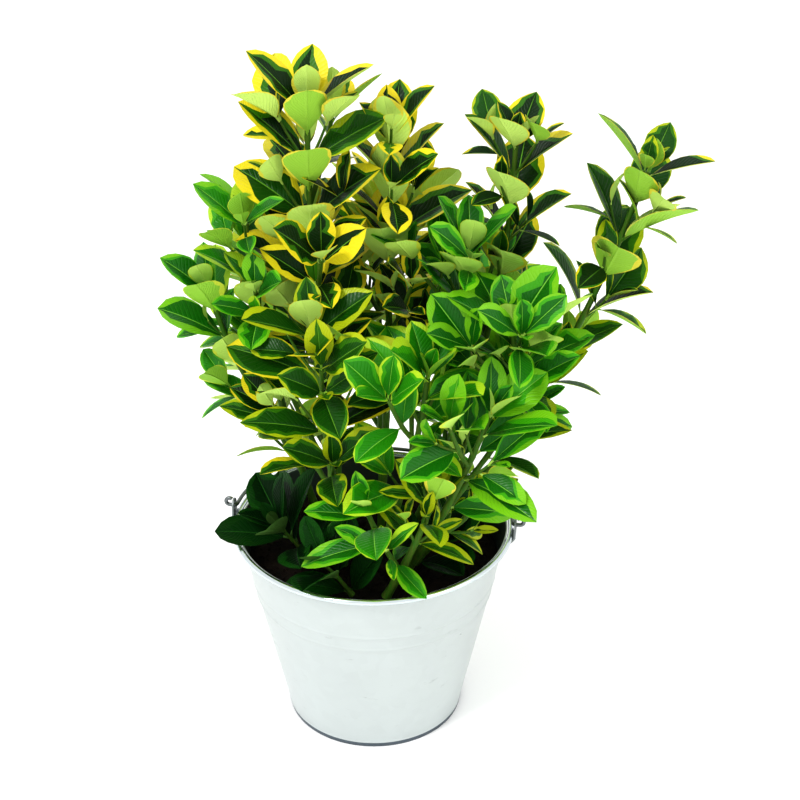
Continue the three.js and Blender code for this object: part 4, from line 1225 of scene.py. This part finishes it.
def leaves_piece(tone):
    leaves, tints, margins, pushes, rounds = [], [], [], [], []
    for shoot, axes in grown:
        if shoot["tone"] != tone:
            continue
        draw = random_from(shoot["seed"] + TINT_DRAW)
        spray, share = draw(), draw()
        thin = shoot["name"] in THIN_MARGINS
        spray, share = YOUNG_GROWTH.get(shoot["name"], (spray, 1 if thin else share))
        push = lerp(*ZONE_PUSH[tone], share)
        for axis in axes:
            fine = [leaf for own in axis["axils"] for leaf in own["leaves"]]
            for leaf in axis["leaves"] + axis["young"] + fine:
                leaves.append(leaf)
                tints.append(clamped(about(spray, TINT_SPAN, draw)))
                margins.append(LEAST_MARGIN + MARGIN_SPAN * draw() - (THIN_STREAKS if thin else 0))
                pushes.append(about(push, PUSH_SPAN, draw))
                rounds.append(lerp(*ROUNDNESS[tone], draw()))
    base = mesh_of(
        "leaf_feet", [leaf["at"] for leaf in leaves], number=range(len(leaves)),
        foot=[leaf["at"] * MM for leaf in leaves], length=[leaf["length"] * MM for leaf in leaves],
        way=[leaf["way"] for leaf in leaves], face=[leaf["face"] for leaf in leaves],
        bend=[leaf["bend"] for leaf in leaves],
        fold=[math.tan(math.radians(leaf["fold"])) for leaf in leaves],
        girth=[girth_at(leaf, tone) for leaf in leaves],
        tint=tints, margin=margins, push=pushes, roundness=rounds)
    piece = foliage(tone).piece("leaves_" + tone, base)
    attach(piece, PLANT)
    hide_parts(*("leaves_" + shoot["name"] for shoot, _ in grown if shoot["tone"] == tone))
    print(piece.name, len(leaves), "leaves", len(piece.data.polygons), "faces")


for tone in LEAF_COLOURS:
    leaves_piece(tone)


# Stems and twigs

STEM_STEP = 4
FEWEST_STEPS = 3
PLAIN_STEM = 0.6
NODE_SWELL = 0.2
NODE_LENGTH = 2.4
FOOT_FLARE = 0.2
FLARE_LENGTH = 6
# A stem bare for more than this share has two old leaf nodes
LONG_BARE = 0.25


def tube(growth, sides, radius, **scale):
    """A round tube along the edges of the base mesh."""
    line = growth.output("GeometryNodeMeshToCurve", {"Mesh": growth.base})
    ring = growth.output(
        "GeometryNodeCurvePrimitiveCircle", {"Resolution": sides, "Radius": radius}, "Curve", mode="RADIUS")
    return growth.output(
        "GeometryNodeCurveToMesh", {"Curve": line, "Profile Curve": ring, "Fill Caps": True, **scale})


def limb_tree(name):
    """The tree that draws a round limb along every line, with its bark in relief."""
    growth = Growth(name)
    sides = growth.size("Sides", 12)
    relief = growth.size("Relief", 0.00022)
    grain = growth.size("Grain", 260.0)
    limb = tube(growth, sides, 1.0, Scale=growth.attribute("thick"))
    uneven = growth.noise(growth.output("GeometryNodeInputPosition"), grain, 3, 0.6) - 0.5
    offset = growth.vector("SCALE", growth.output("GeometryNodeInputNormal"), uneven * relief)
    limb = growth.output("GeometryNodeSetPosition", {"Geometry": limb, "Offset": offset})
    return growth.finish(limb, [(BARK, None)])


def limb_base(lines):
    """Lines of points with a radius at each, as one mesh of edges."""
    points, edges, thick = [], [], []
    for line in lines:
        first = len(points)
        for point, radius in line:
            points.append(point)
            thick.append(radius * MM)
        edges += [(i, i + 1) for i in range(first, len(points) - 1)]
    return mesh_of("limb_lines", points, edges=edges, thick=thick)


def line_along(path, start, end, radius_at, nodes=()):
    """Points along a path with the radius at each, which swells at the leaf nodes."""
    length = path.length()
    count = max(FEWEST_STEPS, round(length * (end - start) / STEM_STEP))
    line = []
    for i in range(count + 1):
        t = lerp(start, end, i / count)
        swell = sum(math.exp(-((t - node) * length / NODE_LENGTH) ** 2) for node in nodes)
        line.append((path.point(t), radius_at(t) * (1 + NODE_SWELL * swell)))
    return line


def axil_taper(t):
    return lerp(*AXIL_RADII, t)


def twig_taper(t):
    return lerp(TWIG_FOOT_RADIUS, TWIG_TIP_RADIUS, t)


def stem_taper(shoot, path):
    """The radius along a stem, whose foot flares at the soil."""
    size = PLAIN_STEM if shoot["tone"] == "plain" else 1
    length = path.length()

    def radius(t):
        flare = 0 if "off" in shoot else FOOT_FLARE * max(0, 1 - t * length / FLARE_LENGTH)
        return size * stem_radius(shoot, t) * (1 + flare)

    return radius


bare_lines, leafy_lines = [], []
for shoot, axes in grown:
    bare = shoot["bare"]
    for axis in axes:
        leafy_lines += [line_along(own["path"], 0, 1, axil_taper) for own in axis["axils"]]
        nodes, path = pair_shares(axis), axis["path"]
        if axis["twig"]:
            leafy_lines.append(line_along(path, 0, 1, twig_taper, nodes))
            continue
        taper = stem_taper(shoot, path)
        old_nodes = [bare * k / 3 for k in (1, 2)] if bare > LONG_BARE else []
        if bare > 0:
            bare_lines.append(line_along(path, 0, bare, taper, nodes + old_nodes))
        leafy_lines.append(line_along(path, bare, 1, taper, nodes))

stems = limb_tree("stems_and_boughs").piece("stems", limb_base(bare_lines))
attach(stems, PLANT)
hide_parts(*(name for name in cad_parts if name.startswith(("stem_", "bough_"))))

twigs = limb_tree("leafy_twigs").piece("leafy_twigs", limb_base(leafy_lines))
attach(twigs, PLANT)
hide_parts(*(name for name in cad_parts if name.startswith("leaves_")))


# Bucket

BUCKET_SIDES = 112
WALL_ROWS = 120
# Height in millimetres of the painted contact shadow at the bucket's foot
FOOT_SHADOW_HEIGHT = 2.8
HEM_STEP = 0.45
HEM_TOP = (3.2, 3.9)
WELD = 0.00002


def bucket_tree():
    """The tree that turns the bucket's wall and floor round its axis, with its swages and its hem."""
    growth = Growth("rolled_bucket")
    height = growth.size("Height", BUCKET_HEIGHT * MM)
    mouth = growth.size("Mouth radius", (RIM_RADIUS - 2 * BEAD_RADIUS) * MM)
    foot = growth.size("Foot radius", FOOT_RADIUS * MM)
    sheet = growth.size("Sheet", SHEET * MM)
    bead = growth.size("Bead radius", BEAD_RADIUS * MM)
    hem = growth.size("Hem step", HEM_STEP * MM)
    swage = growth.size("Swage depth", SWAGE_DEPTH * MM)
    sides = growth.size("Sides", BUCKET_SIDES)
    rows = growth.size("Wall rows", WALL_ROWS)
    foot_shadow_top = growth.size("Painted foot shadow", FOOT_SHADOW_HEIGHT * MM)
    whole = rows * 2 + 4
    grid = growth.output("GeometryNodeMeshGrid", {
        "Size X": 1.0, "Size Y": 1.0, "Vertices X": sides + 1, "Vertices Y": whole}, "Mesh")
    # The grid's rows run from the middle of the floor up the outside and down the inside
    around, along, _ = growth.parts(growth.output("GeometryNodeInputPosition"))
    turn = (around + 0.5) * (2 * math.pi)
    last = whole - 1
    row = growth.math("ROUND", (along + 0.5) * last)
    inside_row = row - rows - 2
    outside = growth.math("DIVIDE", row - 1, rows, clamp=True)
    inside = growth.math("DIVIDE", inside_row, rows, clamp=True)
    inner = inside_row > -0.5
    pole = (row < 0.5) + (row > last - 0.5)
    share = outside - inside
    z = share * (height - bead)
    wall = (mouth - foot) * (z / height) + foot
    upper_swage, lower_swage = (growth.bell(z, h * MM, SWAGE_WIDTH * MM) for h in SWAGE_HEIGHTS)
    step = growth.spread(z, HEM_TOP[0] * MM, HEM_TOP[1] * MM, 1, 0) * hem * (1 - inner)
    radius = wall + (upper_swage + lower_swage) * swage + step - sheet * inner
    radius = radius * (1 - pole)
    laid = growth.output("ShaderNodeCombineXYZ", {
        "X": radius * growth.math("COSINE", turn), "Y": radius * growth.math("SINE", turn),
        "Z": z + sheet * inner * (1 - share)})
    shell = growth.output("GeometryNodeStoreNamedAttribute", {
        "Geometry": grid, "Name": "inner", "Value": inner}, domain="POINT")
    shell = growth.output("GeometryNodeSetPosition", {"Geometry": shell, "Position": laid})
    shell = growth.output("GeometryNodeMergeByDistance", {"Geometry": shell, "Distance": WELD})
    _, _, level = growth.parts(growth.output("GeometryNodeInputPosition"))
    # The inside wall takes the painted shade and painted reflection
    # The lowest band of the outside, below the painted shadow's height, takes the painted contact shadow
    return growth.finish(shell, [
        (ZINC, None), (SHADED_INNER_ZINC, growth.attribute("inner") > 0.9), (FOOT_SHADOW_ZINC, level < foot_shadow_top)])


def rolled(name, points, radius, finish, closed):
    """A round wire or bead along a line of points."""
    growth = Growth(name + "_wire")
    thick = growth.size("Wire radius", radius * MM)
    growth.finish(tube(growth, growth.size("Sides", 14), thick), [(finish, None)])
    edges = [(i, i + 1) for i in range(len(points) - 1)]
    if closed:
        edges.append((len(points) - 1, 0))
    return growth.piece(name, mesh_of(name + "_line", points, edges=edges))


def joined(name, *pieces):
    mesh = bmesh.new()
    slots = []
    for piece in pieces:
        own = piece.data.copy()
        for polygon in own.polygons:
            polygon.material_index += len(slots)
        slots += list(piece.data.materials)
        mesh.from_mesh(own)
        bpy.data.objects.remove(piece)
    bmesh.ops.recalc_face_normals(mesh, faces=mesh.faces)
    data = bpy.data.meshes.new(name)
    mesh.to_mesh(data)
    mesh.free()
    for finish in slots:
        data.materials.append(finish)
    return shown(name, data)


def ring_at(radius, z, count):
    turns = [2 * math.pi * k / count for k in range(count)]
    return [(radius * math.cos(a), radius * math.sin(a), z) for a in turns]


rim_circle = ring_at(RIM_RADIUS - BEAD_RADIUS, BUCKET_HEIGHT - BEAD_RADIUS, BUCKET_SIDES)
bucket = joined(
    "bucket_shell", bucket_tree().piece("bucket_wall"),
    rolled("bucket_bead", rim_circle, BEAD_RADIUS, BEAD_ZINC, True))
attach(bucket, PLANT)
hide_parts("bucket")


# Bail

# The bail lies on the rim's bead. Its curls and bends are turned through these angles in these steps
BAIL_LIFT = 0.05
CURL_TURN, CURL_STEPS = (130, -90), 14
BEND_TURN, BEND_STEPS = (270, 182), 6
BOW_STEP = 2


def bail_line():
    """The bail's centre line from one curl round the back to the other."""
    drop = BUCKET_HEIGHT + WIRE_RADIUS + BAIL_LIFT + CLEAR - HINGE_HEIGHT
    lean = math.asin(drop / BAIL_RADIUS)
    corner = BAIL_RADIUS + BAIL_BEND
    half = []
    for i in range(CURL_STEPS + 1):
        a = math.radians(lerp(*CURL_TURN, i / CURL_STEPS))
        half.append((CURL_START + CURL_RADIUS * math.cos(a), 0, CURL_RADIUS * (1 + math.sin(a))))
    for i in range(BEND_STEPS + 1):
        a = math.radians(lerp(*BEND_TURN, i / BEND_STEPS))
        half.append((corner + BAIL_BEND * math.cos(a), BAIL_BEND * (1 + math.sin(a)), 0))
    for a in range(2 * BOW_STEP, 90, BOW_STEP):
        half.append((BAIL_RADIUS * cosine(a), BAIL_RADIUS * sine(a), 0))
    other = [(-x, y, z) for x, y, z in reversed(half)]
    c, s = cosine(EAR_TURN), sine(EAR_TURN)
    line = []
    for x, y, z in half + [(0, BAIL_RADIUS, 0)] + other:
        back = y * math.cos(lean)
        line.append((x * c - back * s, x * s + back * c, HINGE_HEIGHT + z + y * math.sin(lean)))
    return line


bail = rolled("bail_wire", bail_line(), WIRE_RADIUS, WIRE_ZINC, False)
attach(bail, BAIL)
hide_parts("bail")

for name in ("ear_right", "ear_left"):
    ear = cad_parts[name]
    ear.data.materials.clear()
    ear.data.materials.append(EAR_ZINC)


# Compost

COMPOST_GAP = 0.4
COMPOST_RINGS = 26
COMPOST_SIDES = 84
COMPOST_LOW = (60, 4)
COMPOST_TOP = 1.1
MIDDLE_TOP = 0.6
EDGE_TOP = 2
FALL_WIDTH = 9
FALL_DEPTH = 1.6
CLOD = 13
CLOD_SLICE = 3
CLOD_NOISE = (0.8, 2, 4)
CLOD_LOW, CLOD_HIGH = -1.2, 1
LEAST_CRUMB, MOST_CRUMB = (0.35, 0.3, 0.25), (1.3, 1.1, 0.8)
FULL_TURN = (6.28, 6.28, 6.28)


def crumb_tree():
    """The tree that strews crumbs over the compost's top."""
    growth = Growth("compost_crumbs")
    count = growth.size("Crumbs per square metre", 42000.0)
    size = growth.size("Crumb radius", 0.0016)
    seed = growth.size("Seed", 8)

    def between(low, high):
        values = {"Seed": seed, 0: low, 1: high}
        return growth.output("FunctionNodeRandomValue", values, data_type="FLOAT_VECTOR")

    points = growth.output("GeometryNodeDistributePointsOnFaces", {
        "Mesh": growth.base, "Density": count, "Seed": seed, "Selection": growth.attribute("top")}, "Points")
    crumb = growth.output("GeometryNodeMeshIcoSphere", {"Radius": size, "Subdivisions": 1}, "Mesh")
    crumbs = growth.output("GeometryNodeInstanceOnPoints", {
        "Points": points, "Instance": crumb, "Rotation": between((0, 0, 0), FULL_TURN),
        "Scale": between(LEAST_CRUMB, MOST_CRUMB)})
    return growth.finish(crumbs, [(COMPOST, None)])


def compost_mesh():
    """The compost: a closed body whose top is heaped unevenly and falls away at the wall."""
    rings, sides = COMPOST_RINGS, COMPOST_SIDES
    edge = wall_radius(SOIL_TOP - EDGE_TOP) - SHEET - COMPOST_GAP
    points, top = [(0, 0, SOIL_TOP - MIDDLE_TOP)], [1.0]
    for ring in range(1, rings + 1):
        r = edge * ring / rings
        fall = max(0, (r - edge + FALL_WIDTH) / FALL_WIDTH) ** 2 * FALL_DEPTH
        for x, y, _ in ring_at(r, 0, sides):
            rough = noise.fractal(Vector((x, y, CLOD_SLICE)) / CLOD, *CLOD_NOISE)
            rough = max(CLOD_LOW, min(CLOD_HIGH, rough))
            points.append((x, y, SOIL_TOP - COMPOST_TOP - fall + rough))
            top.append(1.0 if ring < rings else 0.0)
    for z in COMPOST_LOW:
        points += ring_at(wall_radius(z) - SHEET - COMPOST_GAP, z, sides)
    points.append((0, 0, COMPOST_LOW[-1]))
    top += [0.0] * (len(points) - len(top))
    faces = [(0, 1 + k, 1 + (k + 1) % sides) for k in range(sides)]
    for ring in range(rings + 1):
        a, b = 1 + ring * sides, 1 + (ring + 1) * sides
        for k in range(sides):
            n = (k + 1) % sides
            faces.append((a + k, b + k, b + n, a + n))
    low, end = 1 + (rings + 1) * sides, len(points) - 1
    faces += [(low + k, end, low + (k + 1) % sides) for k in range(sides)]
    mesh = mesh_of("compost", points, faces, top=top)
    mesh.materials.append(COMPOST)
    mesh.shade_smooth()
    return mesh


compost = shown("compost", compost_mesh())
crumbs = crumb_tree().piece("crumbs", compost.data.copy())
compost = joined("compost_in_bucket", compost, crumbs)
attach(compost, PLANT)
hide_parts("soil")


# Camera, floor and light

def camera_at_the_view():
    forward = Vector((0, cosine(CAMERA_ELEVATION), -sine(CAMERA_ELEVATION)))
    right, up = Vector((1, 0, 0)), Vector((0, sine(CAMERA_ELEVATION), cosine(CAMERA_ELEVATION)))
    c, s = cosine(CAMERA_ROLL), sine(CAMERA_ROLL)
    right, up = right * c + up * s, up * c - right * s
    lens = bpy.data.cameras.new("camera")
    lens.sensor_width = SENSOR
    lens.lens = FOCAL_PIXELS / FRAME_PIXELS * SENSOR
    lens.clip_end = 50
    camera = bpy.data.objects.new("camera", lens)
    camera.matrix_world = Matrix.Translation(Vector(CAMERA_AIM) - forward * CAMERA_DISTANCE) @ Matrix(
        (right, up, -forward)).transposed().to_4x4()
    bpy.context.scene.collection.objects.link(camera)
    bpy.context.scene.camera = camera


def pale_floor():
    skin = Finish("pale_floor", (0.93, 0.93, 0.93, 1), 0.9, specular=0.1)
    skin.grained(skin.noise(skin.place, 3, 2), 0.85, 0.95)
    floor = bpy.data.meshes.new("floor")
    floor.from_pydata([(-12, -8, 0), (12, -8, 0), (12, 16, 0), (-12, 16, 0)], [], [(0, 1, 2, 3)])
    floor.materials.append(skin.made)
    shown("floor", floor)


LIGHT_AIM = (0, 0, 0.2)


def soft_light(name, place, size, power):
    light = bpy.data.lights.new(name, "AREA")
    light.shape = "DISK"
    light.size = size
    light.energy = power
    lamp = bpy.data.objects.new(name, light)
    lamp.location = place
    lamp.rotation_euler = (Vector(LIGHT_AIM) - Vector(place)).to_track_quat("-Z", "Y").to_euler()
    bpy.context.scene.collection.objects.link(lamp)


camera_at_the_view()
pale_floor()
soft_light("key_light", (-1.0, -1.0, 1.7), 0.6, 20)
soft_light("fill_light", (1.3, -0.8, 0.9), 1.2, 5)

world = bpy.data.worlds.new("studio")
world.use_nodes = True
world.node_tree.nodes["Background"].inputs["Color"].default_value = (1, 1, 1, 1)
world.node_tree.nodes["Background"].inputs["Strength"].default_value = 1.0
bpy.context.scene.world = world
bpy.context.scene.view_settings.view_transform = "Standard"
bpy.context.scene.view_settings.look = "Medium High Contrast"
